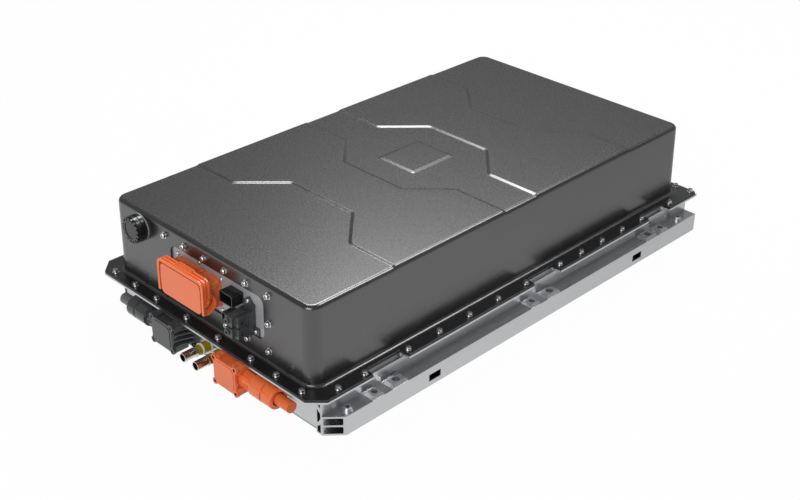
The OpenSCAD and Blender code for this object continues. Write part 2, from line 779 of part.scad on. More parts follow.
// Castellated cap clipped over the body
module valve_cap() {
    color("#202224") on_front_wall(valve_x, valve_z) difference() {
        union() {
            y_rod(valve_d / 2, -valve_reach + 3, -10);
            y_rod(valve_d / 2 - 1.2, -valve_reach, -valve_reach + 3 + eps);
        }
        y_rod(valve_d / 2 - 5.7, -valve_reach + 4.5, -8);
        y_rod(valve_d / 2 - 9, -valve_reach - 1, -valve_reach + 1);
        for (k = [0 : 15]) rotate([0, k * 22.5, 0]) {
            block([valve_d / 2 - 6, -valve_reach - 1, -1.5], [valve_d / 2 + 1, -valve_reach + 3.4, 1.5]);
            block([valve_d / 2 - 1.6, -13, -2.4], [valve_d / 2 + 1, -9, 2.4]);
        }
    }
}

// Service panel and its gasket

module panel_outline_gasket() {
    upright_plate(window_w + 2 * rim_w, window_h + 2 * rim_w - 4, 16, cover_wall, cover_wall + panel_gasket_t);
}

module panel_gasket() {
    color("black") difference() {
        on_front_wall(window_x, window_z) difference() {
            panel_outline_gasket();
            upright_plate(window_w, window_h, window_r, cover_wall - 1, cover_wall + panel_gasket_t + 1);
        }
        at_window_screws() y_rod(screw_d / 2 + screw_fit, cover_wall - 1, cover_wall + panel_gasket_t + 1);
    }
}

panel_y = cover_wall + panel_gasket_t;
panel_back = panel_y + panel_t;
msd_well_w = msd_w - 26;
msd_well_h = msd_h - 14;
msd_screw_x = 59.3;
msd_screw_z = 29.8;
msd_top_screw_z = msd_screw_z + 8.2;
lv_plug_h = 2 * lv_tier_h + lv_tier_gap;
side_head_w = lv_plug_w + 3;
side_head_h = lv_plug_h + 3.4;
// Screws of the side header, measured from the side plug's middle
side_screws = [[0.6, 36.6], [18.8, -14.4]];

// Places of the screws that hold the connectors to the panel
function panel_screw_places() = [
    for (sx = [-1, 1], sz = [-1, 1]) [msd_x + sx * msd_screw_x, msd_z + sz * msd_screw_z],
    [msd_x + 2, msd_z + msd_top_screw_z],
    for (p = side_screws) [lv_plug_x + p[0], lv_plug_z + p[1]]];

module service_panel() {
    color("gainsboro") difference() {
        on_front_wall(window_x, window_z)
            upright_plate(window_w + 2 * rim_w, window_h + 2 * rim_w - 4, 16, panel_y, panel_back);
        at_window_screws() y_rod(screw_d / 2 + 0.05, panel_y - 1, panel_back + 1);
        on_front_wall(msd_x, msd_z)
            upright_plate(msd_w + 0.6, msd_h + 0.6, msd_r + 0.3, panel_y - 1, panel_back + 1);
        on_front_wall(lv_upper_x, lv_upper_z)
            upright_plate(lv_upper_w - 5.4, lv_h - 5.4, 2.3, panel_y - 1, panel_back + 1);
        on_front_wall(lv_lower_x, lv_lower_z)
            upright_plate(lv_lower_w - 5.4, lv_h - 5.4, 2.3, panel_y - 1, panel_back + 1);
        on_front_wall(lv_plug_x, lv_plug_z)
            upright_plate(side_head_w - 7.4, side_head_h - 7.4, 2.3, panel_y - 1, panel_back + 1);
        for (p = panel_screw_places()) on_front_wall(p[0], p[1]) y_rod(2.05, panel_y - 1, panel_back + 1);
    }
}

module window_screws() {
    color("lightgray") at_window_screws() rotate([90, 0, 0]) washer_screw(panel_back + 4);
}

// Service disconnect

base_front = panel_y - 3.5;
base_flange_t = 4;
msd_r = 10;

// Fixed half: it passes through the panel, is screwed behind it and holds the fuse well
module msd_base() {
    back = panel_back + base_flange_t;
    color("#d9622b") on_front_wall(msd_x, msd_z) difference() {
        union() {
            upright_plate(msd_w + 14, msd_h + 21, 9, panel_back, back);
            translate([2, 0, msd_top_screw_z]) y_rod(6, panel_back, back);
            upright_plate(msd_w, msd_h, msd_r, base_front, back);
            upright_plate(msd_well_w, msd_well_h, 6, back - eps, panel_back + 28);
        }
        upright_plate(msd_well_w - 6, msd_well_h - 6, 4, base_front - 1, panel_back + 25);
        for (sx = [-1, 1], sz = [-1, 1])
            translate([sx * msd_screw_x, 0, sz * msd_screw_z]) y_rod(2.05, panel_back - 1, back + 1);
        translate([2, 0, msd_top_screw_z]) y_rod(2.05, panel_back - 1, back + 1);
    }
}

lever_front = -msd_reach;
pivot_y = lever_front + lever_pivot_d;
pivot_z = lever_pivot_z - msd_z;
face_top = lever_top + pivot_z - lever_bar_t - 2.8;
face_low = -msd_h / 2 + 2;

// Guide pin of the lever: its distance from the pivot and its angle
guide_r = 13.2;
guide_angle = 20;

// Moving half: hollow body, raised face and the pins that carry and guide the lever
module msd_plug() {
    body_front = lever_front + lever_bar_d + 1;
    pin_end = msd_w / 2 + lever_arm_t - 0.5;
    seam_z = 13;
    color("#e0622c") on_front_wall(msd_x, msd_z) difference() {
        union() {
            upright_plate(msd_w - 6, msd_h, msd_r, body_front, base_front);
            translate([0, 0, (seam_z + msd_h / 2) / 2])
                upright_plate(msd_w, msd_h / 2 - seam_z, 6, body_front, base_front);
            upright_plate(msd_w - 5, msd_h - 4, msd_r, lever_front + 9, body_front + eps);
            translate([0, 0, (face_top + face_low) / 2])
                upright_plate(msd_w - 6, face_top - face_low, 9, lever_front + 0.6, lever_front + 9 + eps);
            upright_plate(msd_well_w - 6.6, msd_well_h - 6.6, 3.7, base_front - eps, panel_y + 16);
            difference() {
                block([1.5, base_front - 18, msd_h / 2 - eps], [18.5, base_front - 2, msd_h / 2 + 3]);
                block([5.5, base_front - 19, msd_h / 2 + 1], [14.5, base_front - 6, msd_h / 2 + 4]);
            }
            for (s = [0, 1]) mirror([s, 0, 0]) translate([msd_w / 2 - 6, pivot_y, pivot_z]) rotate([0, 90, 0]) {
                cylinder(h = pin_end - msd_w / 2 + 6, r = pivot_pin_d / 2);
                translate([-guide_r * sin(guide_angle), guide_r * cos(guide_angle), 0])
                    cylinder(h = pin_end - msd_w / 2 + 6, r = 2);
            }
        }
        upright_plate(msd_w - 18, msd_h - 14, 7, lever_front + 4, base_front - 4);
        upright_plate(msd_well_w - 12, msd_well_h - 12, 3, base_front - 5, panel_y + 17);
    }
}

// Arm of the lever in the y, z plane, its pivot at the origin
module arm_outline() {
    front = -lever_pivot_d;
    difference() {
        union() {
            translate([front, 0]) square([lever_bar_d, lever_top - 12]);
            translate([front, -lever_cam_r - 5]) square([9, lever_cam_r + 10]);
            translate([2.4, -6]) circle(lever_cam_r);
        }
        guide_slot();
        circle(pivot_pin_d / 2 + 0.06);
        translate([-30 + front, -40]) square([30, 80]);
    }
}

// Curved slot in which the guide pin runs while the lever turns a quarter
module guide_slot() {
    difference() {
        circle(guide_r + 2.5);
        circle(guide_r - 2.5);
        translate([-30, -30]) square([30, 60]);
        translate([-30, 9]) square([60, 30]);
    }
}

// Recess in the arm's outer face, between its rim and the pivot's boss
module arm_recess() {
    difference() {
        translate([2.4, -6]) circle(lever_cam_r - 2.6);
        circle(pivot_pin_d / 2 + 3);
        translate([-30 - lever_pivot_d + 2.8, -40]) square([30, 80]);
        translate([-30, 5]) square([60, 30]);
    }
}

// Arch of the lever from y0 to y1: two legs and the bar, t thick, its outside inset from the lever's
module lever_arch(inset, t, y0, y1) {
    h = lever_top + 30;
    difference() {
        translate([0, 0, lever_top - inset - h / 2])
            upright_plate(lever_w - 2 * inset, h, 12 - inset, y0, y1);
        translate([0, 0, lever_top - inset - t - h / 2])
            upright_plate(lever_w - 2 * (inset + t), h, 12 - inset - t, y0 - 1, y1 + 1);
        block([-lever_w, y0 - 1, -40], [lever_w, y1 + 1, 6]);
    }
}

// Lever that wraps the plug's face: two cammed arms and a grooved bar with a ribbed grip
module msd_lever() {
    front = -lever_pivot_d;
    back = lever_bar_d - lever_pivot_d;
    groove = 2.4;
    grip_low = -19.5;
    grip_high = 22.5;
    color("#e86a30") on_front_wall(msd_x, lever_pivot_z) translate([0, pivot_y, 0]) {
        difference() {
            union() {
                for (s = [0, 1]) mirror([s, 0, 0]) translate([lever_w / 2 - lever_arm_t, 0, 0])
                    rotate([90, 0, 90]) linear_extrude(lever_arm_t) arm_outline();
                lever_arch(0, lever_bar_t, front, back);
            }
            lever_arch(-1, groove + 1, front + 2.4, front + 4.8);
            lever_arch(-1, groove + 1, front + 7.4, front + 12.2);
            for (s = [0, 1]) mirror([s, 0, 0]) translate([lever_w / 2 - 1.8, 0, 0])
                rotate([90, 0, 90]) linear_extrude(3) arm_recess();
            block([-lever_w / 2 + lever_arm_t, front - 1, -30], [lever_w / 2 - lever_arm_t, back + 1, 20]);
        }
        block([grip_low, front + 1, lever_top - 3], [grip_high, back + 2.5, lever_top + 0.6]);
        for (y = [0, 3, 6]) block([grip_low + 1, back - 7 + y, lever_top], [grip_high - 1, back - 5.6 + y, lever_top + 1.8]);
        for (k = [0 : 8]) block([grip_low + 2 + k * 4.4, front + 2, lever_top], [grip_low + 4 + k * 4.4, front + 6.4, lever_top + 1.8]);
    }
}

// Signal connectors

// Open socket on the panel with two rows of contact pins and a catch on one side
module open_header(w, h, catch_side) {
    difference() {
        union() {
            upright_plate(w, h, 2, -lv_reach, panel_y);
            upright_plate(w - 6, h - 6, 2, panel_y - eps, panel_back + 8);
            mirror([catch_side < 0 ? 1 : 0, 0, 0]) {
                block([w / 2 - 1, -12, -3.4], [w / 2 + 1.5, -5, 3.4]);
                block([w / 2 - 6, -9, h / 2 - 1], [w / 2 - 2, -1, h / 2 + 1]);
            }
        }
        upright_plate(w - 2 * lv_wall, h - 2 * lv_wall, 1.2, -lv_reach - 1, panel_y - 4);
    }
    for (i = [-2 : 2], k = [-1, 1]) translate([i * 4, 0, k * 3])
        block([-0.5, panel_y - 10, -0.5], [0.5, panel_y - 4 + eps, 0.5]);
}

module lv_header_upper() {
    color("#1b1c1e") on_front_wall(lv_upper_x, lv_upper_z) open_header(lv_upper_w, lv_h, 1);
}

module lv_header_lower() {
    color("#1b1c1e") on_front_wall(lv_lower_x, lv_lower_z) open_header(lv_lower_w, lv_h, -1);
}

// Flanged header that the side plug is mated to
module lv_header_side() {
    low_z = -side_head_h / 2;
    flange_y = panel_y - 3;
    left = -side_head_w / 2 + 0.6;
    color("#3c3e40") on_front_wall(lv_plug_x, lv_plug_z) difference() {
        union() {
            upright_plate(side_head_w, side_head_h, 2.4, panel_y - 14, panel_y);
            block([left, flange_y, low_z], [side_head_w / 2, panel_y, side_screws[0][1] - 3]);
            block([side_screws[0][0] - 9, flange_y, 0], [side_screws[0][0] + 9, panel_y, side_screws[0][1]]);
            block([0, flange_y, low_z], [side_screws[1][0] + 6, panel_y, side_screws[1][1] + 6]);
            for (p = side_screws) translate([p[0], 0, p[1]]) y_rod(6.2, flange_y, panel_y);
            upright_plate(side_head_w - 8, side_head_h - 8, 2, panel_y - eps, panel_back + 8);
        }
        upright_plate(lv_plug_w + 0.6, lv_plug_h + 0.6, 1.2, panel_y - 15, flange_y);
        for (p = side_screws) translate([p[0], 0, p[1]]) y_rod(2.1, panel_y - 4, panel_y + 1);
    }
}

// Mated plug with two tiers, each with a lead boot and a framed side window
module lv_plug() {
    w = lv_plug_w;
    front = -lv_plug_reach;
    seat = panel_y - 3.3;
    step_x = 4;
    boot_r = 5.7;
    boot_x = -w / 2 + boot_r;
    color("#4a4c4e") on_front_wall(lv_plug_x, lv_plug_z) {
        upright_plate(w - 3, lv_plug_h - 3, 1.5, front + lv_plug_step + 4, seat);
        block([-6, front + 11, lv_plug_h / 2 - 1], [7, panel_y - 15, lv_plug_h / 2 + 4]);
        block([-4, front + 7, lv_plug_h / 2 - 1], [5, front + 11 + eps, lv_plug_h / 2 + 2]);
        for (s = [-1, 1]) translate([0, 0, s * (lv_tier_h + lv_tier_gap) / 2]) difference() {
            union() {
                upright_plate(w, lv_tier_h, 1.6, front + lv_plug_step, seat);
                block([-w / 2, front, -lv_tier_h / 2 + 1], [step_x, front + lv_plug_step + eps, lv_tier_h / 2 - 1]);
                translate([boot_x, 0, 0]) y_rod(boot_r, front - 3, front + 1);
                block([w / 2 - 1, front + 9, -5], [w / 2 + 0.9, front + 19, 5]);
                for (z = [-lv_tier_h / 2 + 1, lv_tier_h / 2 - 2.6])
                    block([w / 2 - 1, front + 21, z], [w / 2 + 1.2, panel_y - 15, z + 1.6]);
            }
            translate([boot_x, 0, 0]) y_rod(boot_r - 2.6, front - 4, front + 12);
            block([w / 2 - 2.4, front + 10.6, -3.4], [w / 2 + 2, front + 17.4, 3.4]);
        }
    }
}

module panel_screws() {
    color("lightgray") for (p = panel_screw_places()) {
        seat = p[0] > 60 ? panel_y - 3 : panel_y;
        on_front_wall(p[0], p[1]) translate([0, seat, 0]) rotate([90, 0, 0])
            cap_screw(panel_back - seat + 3, 4, 7.5, 3.4);
    }
}

// Power connectors

// Places a connector on the beam; its gland points away from the middle
module at_connector(side) {
    x = side < 0 ? hv_minus_x : hv_plus_x;
    translate([x, -beam_front, hv_z]) mirror([side < 0 ? 1 : 0, 0, 0]) children();
}

hv_cover_y = -hv_reach + hv_cover_t;

// Body outline with its four screw lugs
module hv_outline(w, h) {
    round_rect(w, h, 7);
    for (sx = [-1, 1], sz = [-1, 1]) translate([sx * hv_screw_w / 2, sz * hv_screw_h / 2]) circle(hv_lug_r);
}

// Columns behind the four lugs, joined to the body
module hv_columns(y0, y1) {
    for (sx = [0, 1], sz = [0, 1]) mirror([sx, 0, 0]) mirror([0, 0, sz]) {
        translate([hv_screw_w / 2, 0, hv_screw_h / 2]) y_rod(hv_lug_r - 0.8, y0, y1);
        block([hv_body_w / 2 - 12, y0, hv_body_h / 2 - 12], [hv_screw_w / 2, y1, hv_screw_h / 2 + hv_lug_r - 0.8]);
        block([hv_body_w / 2 - 12, y0, hv_body_h / 2 - 12], [hv_screw_w / 2 + hv_lug_r - 0.8, y1, hv_screw_h / 2]);
    }
}

// Hollow housing with base flange, columns, flared gussets, ribbed gland neck and spigot
module hv_housing() {
    core_w = hv_body_w - 3;
    core_h = hv_body_h - 5;
    cavity_w = core_w - 2 * hv_wall - 4;
    cavity_h = core_h - 2 * hv_wall - 4;
    column_end = -hv_base_t - 8;
    flare_x = hv_base_w / 2 - 3.4;
    base_x = hv_base_w / 2 - 6;
    base_z = hv_base_h / 2 - 6;
    difference() {
        union() {
            upright_plate(hv_base_w, hv_base_h, 6, -hv_base_t, 0);
            upright_plate(core_w, core_h, 6, hv_cover_y, -hv_base_t + eps);
            hv_columns(hv_cover_y, column_end);
            for (z = [-15, -5, 5, 15]) translate([0, 0, z - 1.1]) linear_extrude(2.2)
                polygon([[0, hv_cover_y + 3], [-hv_screw_w / 2 - 2, hv_cover_y + 3], [-flare_x, -hv_base_t + eps],
                    [0, -hv_base_t + eps]]);
            translate([0, -gland_y, 0]) rotate([0, 90, 0]) cylinder(h = gland_hex_start, r = gland_neck_d / 2 - 1.5);
            for (k = [0 : 7]) translate([0, -gland_y, 0]) rotate([k * 45, 0, 0])
                block([0, -1.2, 0], [gland_hex_start - 3, 1.2, gland_neck_d / 2]);
            y_rod(spigot_d / 2, -1, beam_d + 8);
        }
        upright_plate(cavity_w, cavity_h, 4, hv_cover_y - 1, -hv_base_t - 2);
        y_rod(spigot_d / 2 - 4, -hv_base_t - 3, beam_d + 9);
        translate([0, -gland_y, 0]) rotate([0, 90, 0]) cylinder(h = gland_hex_start + 1, r = cable_d / 2 + 0.3);
        for (sx = [-1, 1], sz = [-1, 1]) {
            translate([sx * hv_screw_w / 2, 0, sz * hv_screw_h / 2]) y_rod(1.75, hv_cover_y - 1, -26);
            translate([sx * base_x, 0, sz * base_z]) y_rod(2.7, -hv_base_t - 1, 1);
        }
    }
}

// Bolted cover with a raised panel and four lugs
module hv_cover() {
    difference() {
        union() {
            translate([0, hv_cover_y, 0]) rotate([90, 0, 0]) linear_extrude(hv_cover_t - 1) hv_outline(hv_body_w, hv_body_h);
            upright_plate(hv_body_w - 9, hv_body_h - 8, 9, -hv_reach, -hv_reach + 1 + eps);
        }
        for (sx = [-1, 1], sz = [-1, 1]) translate([sx * hv_screw_w / 2, 0, sz * hv_screw_h / 2]) {
            y_rod(1.9, -hv_reach, hv_cover_y + 1);
            y_rod(3.3, -hv_reach, -hv_reach + 3.6);
        }
    }
}

// Gland body with its hexagon
module hv_gland() {
    translate([0, -gland_y, 0]) rotate([0, 90, 0]) difference() {
        union() {
            translate([0, 0, gland_hex_start]) intersection() {
                cylinder(h = gland_hex_end - gland_hex_start, r = gland_flats / sqrt(3), $fn = 6);
                cylinder(h = gland_hex_end - gland_hex_start, r = gland_flats / 2 + 1.6);
            }
            translate([0, 0, gland_hex_start + 3]) cylinder(h = gland_hex_end - gland_hex_start - 6, r = gland_nut_d / 2);
            translate([0, 0, gland_hex_end - eps]) cylinder(h = 12, r = gland_nut_d / 2 - 3);
        }
        translate([0, 0, gland_hex_start - 1]) cylinder(h = gland_nut_end, r = cable_d / 2 + 0.15);
    }
}

// Round cap nut with a wide mouth
module hv_nut() {
    translate([0, -gland_y, 0]) rotate([0, 90, 0]) difference() {
        union() {
            translate([0, 0, gland_hex_end]) cylinder(h = 2, r = gland_nut_d / 2 - 1.2);
            translate([0, 0, gland_hex_end + 2 - eps])
                cylinder(h = gland_nut_end - gland_hex_end - 3.5 + eps, r = gland_nut_d / 2);
            translate([0, 0, gland_nut_end - 1.5]) cylinder(h = 1.5, r1 = gland_nut_d / 2, r2 = gland_nut_d / 2 - 1.5);
        }
        translate([0, 0, gland_hex_end - 1]) cylinder(h = 13.2, r = gland_nut_d / 2 - 2.9);
        translate([0, 0, gland_hex_end]) cylinder(h = 40, r = cable_d / 2 + 0.15);
        translate([0, 0, gland_nut_end - 8]) cylinder(h = 9, r = cable_d / 2 + 2.4);
    }
}

// Short cut length of cable that enters the housing
module hv_cable() {
    start = link_r + 0.3;
    translate([start, -gland_y, 0]) rotate([0, 90, 0]) cylinder(h = cable_end - start, r = cable_d / 2);
}

module hv_minus_housing() {
    color("#5d6062") at_connector(-1) hv_housing();
}

module hv_minus_cover() {
    color("#6a6c6e") at_connector(-1) hv_cover();
}

module hv_minus_gland() {
    color("#646668") at_connector(-1) hv_gland();
}

module hv_minus_nut() {
    color("#646668") at_connector(-1) hv_nut();
}

module hv_minus_cable() {
    color("#5d6062") at_connector(-1) hv_cable();
}

module hv_plus_housing() {
    color("#d0602c") at_connector(1) hv_housing();
}

module hv_plus_cover() {
    color("#e88564") at_connector(1) hv_cover();
}

module hv_plus_gland() {
    color("#e27446") at_connector(1) hv_gland();
}

module hv_plus_nut() {
    color("#e27446") at_connector(1) hv_nut();
}

module hv_plus_cable() {
    color("#d0602c") at_connector(1) hv_cable();
}

module hv_screws() {
    color("gray") for (side = [-1, 1]) at_connector(side) for (sx = [-1, 1], sz = [-1, 1]) {
        translate([sx * hv_screw_w / 2, -hv_reach + 3.6, sz * hv_screw_h / 2]) rotate([90, 0, 0])
            cap_screw(11, 3.4, 6.2, 2.6);
        translate([sx * (hv_base_w / 2 - 6), -hv_base_t, sz * (hv_base_h / 2 - 6)]) rotate([90, 0, 0])
            cap_screw(hv_base_t + 8, 5, 8.5, 4);
    }
}

// Coolant ports

// Straight tube through the beam with a stop bead
module coolant_tube(x) {
    bead_y = -beam_front - 37;
    translate([x, 0, port_z]) difference() {
        union() {
            y_rod(tube_d / 2, -beam_front - tube_reach, -beam_front + beam_d + 20);
            y_rod(bead_d / 2, bead_y, bead_y + 3);
        }
        y_rod(tube_d / 2 - tube_wall, -beam_front - tube_reach - 1, -beam_front + beam_d + 21);
    }
}

module coolant_inlet() {
    color("tan") coolant_tube(inlet_x);
}

module coolant_outlet() {
    color("tan") coolant_tube(outlet_x);
}

// Collars round the tubes: the resilient seals and the retaining clips
module collar(r, y0, y1) {
    for (x = [inlet_x, outlet_x]) translate([x, 0, port_z]) difference() {
        y_rod(r, -beam_front - y1, -beam_front - y0);
        y_rod(tube_d / 2 + 0.05, -beam_front - y1 - 1, -beam_front - y0 + 1);
    }
}

module coolant_seals() {
    color("#8a7a10") {
        collar(9.8, 0, 5);
        collar(10, 8, 22);
        collar(9.2, 25, 34);
    }
}

module coolant_clips() {
    color("white") {
        collar(11.2, 5, 8);
        collar(10.8, 22, 25);
    }
}

// Cells and what carries them

// Plate with flat channels along the pack
module cold_plate() {
    y0 = -beam_front + beam_d;
    y1 = beam_rear - beam_d;
    w = upright_in - 1;
    channel_w = 34;
    color("lightsteelblue") difference() {
        block([-w, y0, floor_top], [w, y1, plate_top]);
        for (k = [-6 : 6]) block([k * 40 - channel_w / 2, y0 - 1, floor_top + 3], [k * 40 + channel_w / 2, y1 + 1, plate_top - 3]);
    }
}

// Place of a row's middle, counted from 1
function row_y(n) = row_first + (n - 1) * row_pitch;

// Hollow beam in front of row n
module cross_beam(n) {
    y = row_y(n) - row_pitch / 2;
    w = cross_beam_w;
    color("silver") difference() {
        block([-upright_in, y - w / 2, plate_top], [upright_in, y + w / 2, rail_h]);
        block([-upright_in - 1, y - w / 2 + 2, plate_top + 2], [upright_in + 1, y + w / 2 - 2, rail_h - 2]);
    }
}

row_w = cell_count * cell_t;
cell_top = plate_top + cell_h;

// One prismatic cell with two terminals
module cell() {
    w = cell_t - cell_gap;
    translate([0, 0, plate_top]) {
        translate([-w / 2, -cell_l / 2, 0]) cube([w, cell_l, cell_h]);
        for (s = [-1, 1]) translate([-10, s * 58 - 12, cell_h - eps]) cube([20, 24, 4]);
        translate([0, 0, cell_h - eps]) linear_extrude(0.6) stadium(16, 30);
    }
}

module cell_row(n) {
    color("#3f6fa8") for (k = [0 : cell_count - 1])
        translate([(k + 0.5) * cell_t - row_w / 2, row_y(n), 0]) cell();
}

// End plates and steel bands that clamp a row
module row_frame(n) {
    y = row_y(n);
    out = row_w / 2;
    color("lightgray") {
        for (s = [-1, 1]) translate([s * (out + end_plate_t / 2), y, plate_top]) difference() {
            translate([-end_plate_t / 2, -cell_l / 2, 0]) cube([end_plate_t, cell_l, cell_h - 6]);
            for (k = [-2 : 2]) translate([-2, k * 32 - 10, 12]) cube([4, 20, cell_h - 40]);
        }
        for (s = [-1, 1], z = [26, cell_h - 30])
            translate([-out - end_plate_t, s > 0 ? y + cell_l / 2 : y - cell_l / 2 - 1.2, plate_top + z])
                cube([row_w + 2 * end_plate_t, 1.2, 18]);
    }
}

// Copper bars that join neighbouring cells in series
module cell_busbars() {
    color("peru") for (n = [1 : 4], k = [0 : cell_count - 2])
        translate([(k + 1) * cell_t - row_w / 2, row_y(n) + (k % 2 == 0 ? 58 : -58), cell_top + 4])
            translate([-cell_t / 2 - 9, -10, 0]) cube([cell_t + 18, 20, 2]);
}

bay_gap = 22;
bay_rear_gap = 3;
bay_y0 = -beam_front + beam_d + bay_gap;
bay_y1 = row_y(1) - row_pitch / 2 - cross_beam_w / 2 - bay_rear_gap;
// The switchgear's carrier and the management board keep this distance from the rails
board_side = 43.3;
carrier_w = 210;
board_w = 192;

// Two contactors, the precharge relay and the main fuse on one carrier
module power_switchgear() {
    d = bay_y1 - bay_y0;
    contactor_r = 27;
    color("#2d2f31") translate([board_side - upright_in, bay_y0, plate_top]) {
        cube([carrier_w, d, 4]);
        for (x = [32, 97]) translate([x, d / 2, 4 - eps]) {
            cylinder(h = 44, r = contactor_r);
            translate([-contactor_r, -20, 0]) cube([2 * contactor_r, 40, 30]);
        }
        translate([137, 10, 4 - eps]) cube([28, 30, 24]);
        translate([172, 10, 4 - eps]) cube([26, d - 20, 30]);
    }
}

// Management board on its feet
module management_board() {
    d = bay_y1 - bay_y0;
    foot_h = 10;
    board_top = foot_h + 1.8;
    color("darkgreen") translate([upright_in - board_side - board_w, bay_y0, plate_top]) {
        for (x = [6, board_w - 6], y = [6, d - 6]) translate([x, y, 0]) cylinder(h = foot_h, r = 4);
        translate([0, 0, foot_h - eps]) cube([board_w, d, 1.8]);
        for (k = [0 : 4]) translate([14 + k * 36, 6, board_top - eps]) cube([24, 12, 9]);
        translate([70, d / 2, board_top - eps]) cube([26, 22, 2]);
    }
}

// Rods from the power connectors to the switchgear and up to the first row
module power_links() {
    y0 = -beam_front + 2;
    z = hv_z;
    color("peru") {
        translate([hv_minus_x, 0, z]) y_rod(link_r, y0 - 35, bay_y0 - 2);
        translate([hv_plus_x, 0, z]) y_rod(link_r, y0 - 35, bay_y0 - 2);
        block([hv_minus_x - 9, bay_y0 - 4, z - 4], [hv_minus_x + 9, bay_y0 - 1, plate_top + 60]);
        block([hv_plus_x - 9, bay_y0 - 4, z - 4], [hv_plus_x + 9, bay_y0 - 1, plate_top + 60]);
    }
}

top_cover();
cover_gasket();
sealing_flange();
side_rail_left();
side_rail_right();
front_beam();
rear_beam();
corner_plate();
bottom_plate();
bottom_seal();
cold_plate();
cross_beam(1);  // cross_beam_1
cross_beam(2);  // cross_beam_2
cross_beam(3);  // cross_beam_3
cross_beam(4);  // cross_beam_4
mount_bushings_small();
mount_bushings_large();
rail_inserts();
flange_screws();
window_screws();
panel_gasket();
service_panel();
panel_screws();
msd_base();
msd_plug();
msd_lever();
lv_header_upper();
lv_header_lower();
lv_header_side();
lv_plug();
valve_body();
valve_seal();
valve_cap();
hv_minus_housing();
hv_minus_cover();
hv_minus_gland();
hv_minus_nut();
hv_minus_cable();
hv_plus_housing();
hv_plus_cover();
hv_plus_gland();
hv_plus_nut();
hv_plus_cable();
hv_screws();
coolant_inlet();
coolant_outlet();
coolant_clips();
coolant_seals();
cell_row(1);  // cell_row_1
cell_row(2);  // cell_row_2
cell_row(3);  // cell_row_3
cell_row(4);  // cell_row_4
row_frame(1);  // row_frame_1
row_frame(2);  // row_frame_2
row_frame(3);  // row_frame_3
row_frame(4);  // row_frame_4
cell_busbars();
power_switchgear();
management_board();
power_links();
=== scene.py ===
# %% [markdown]
# # A traction battery pack, dressed for the camera
#
# The pack is a closed box of cells on an extruded aluminium frame. Its measured solids come in as a
# fixed frame: every rail, screw and connector already has its size and place. This lesson gives each
# of them the finish that the real piece has, and rebuilds the few skins whose soft edges and shallow
# ramps a solid model only hints at.

# %% Load the measured frame
import json
import math
import bpy
import bmesh
from mathutils import Matrix, Vector


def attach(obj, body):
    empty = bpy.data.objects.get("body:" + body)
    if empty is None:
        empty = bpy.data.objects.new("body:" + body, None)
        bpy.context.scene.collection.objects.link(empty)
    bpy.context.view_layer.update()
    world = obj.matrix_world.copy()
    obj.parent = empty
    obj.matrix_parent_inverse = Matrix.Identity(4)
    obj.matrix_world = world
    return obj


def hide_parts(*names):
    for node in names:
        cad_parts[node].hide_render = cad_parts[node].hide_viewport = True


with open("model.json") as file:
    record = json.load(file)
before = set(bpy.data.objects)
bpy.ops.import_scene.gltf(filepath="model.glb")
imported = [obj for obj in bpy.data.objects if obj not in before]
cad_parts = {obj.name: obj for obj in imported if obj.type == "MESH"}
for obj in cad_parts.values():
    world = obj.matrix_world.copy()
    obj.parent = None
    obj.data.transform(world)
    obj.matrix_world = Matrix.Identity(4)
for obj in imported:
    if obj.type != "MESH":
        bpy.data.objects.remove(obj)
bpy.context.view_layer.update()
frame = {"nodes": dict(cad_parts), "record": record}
MM = 0.001
print("nodes in the frame:", len(frame["nodes"]))

# %% [markdown]
# ## Camera
#
# The photograph was taken about two and a half metres from the pack, from the connector corner and
# thirty degrees up. A camera can be aimed with a constraint, but a matrix made from three directions
# also keeps the small roll of the real one, so the matrix is used here.

# %% Camera at the photograph's place
VIEW_TURN, VIEW_RISE, VIEW_ROLL = (math.radians(a) for a in (45.14, 29.95, 0.21))
VIEW_FROM = (1.53961, -1.56524, 1.28750)
SENSOR_MM, LENS_MM = 36, 58.57
back = Vector((math.sin(VIEW_TURN) * math.cos(VIEW_RISE),
               -math.cos(VIEW_TURN) * math.cos(VIEW_RISE),
               math.sin(VIEW_RISE)))
right = Vector((math.cos(VIEW_TURN), math.sin(VIEW_TURN), 0))
up = back.cross(right)
cam_right = right * math.cos(VIEW_ROLL) + up * math.sin(VIEW_ROLL)
cam_up = up * math.cos(VIEW_ROLL) - right * math.sin(VIEW_ROLL)
lens = bpy.data.cameras.new("photo_camera")
lens.sensor_width, lens.lens = SENSOR_MM, LENS_MM
lens.clip_start, lens.clip_end = 0.05, 60
camera = bpy.data.objects.new("photo_camera", lens)
bpy.context.scene.collection.objects.link(camera)
turn = Matrix((cam_right, cam_up, back)).transposed().to_4x4()
camera.matrix_world = Matrix.Translation(VIEW_FROM) @ turn
bpy.context.scene.camera = camera
print("camera at", tuple(round(v, 3) for v in camera.location))

# %% [markdown]
# ## Light and floor
#
# A product studio is mostly soft boxes. A large one hangs high behind the pack, and its reflection
# fades over the lid from right to left. A smaller one beside it is met only by the slanted slopes of
# the raised zones, which it turns white. One at the right draws the line along the lid's long edge,
# and one in front fills the connectors. Glowing planes would do the same, but area lamps give cleaner
# soft shadows. The floor and the room are pure white to the camera, through Light Path, so the white
# background adds no light to the pack. Reflections see the white floor too, a little dimmer toward
# the rear, and above it a dim room, as the dark studio over the real lid was.

# %% Helpers for node trees
def node(tree, kind, links=None, **settings):
    """A node of that kind; links fills its inputs from sockets or plain values."""
    made = tree.nodes.new(kind)
    for key, value in settings.items():
        setattr(made, key, value)
    for key, value in (links or {}).items():
        if isinstance(value, bpy.types.NodeSocket):
            tree.links.new(value, made.inputs[key])
        else:
            made.inputs[key].default_value = value
    return made


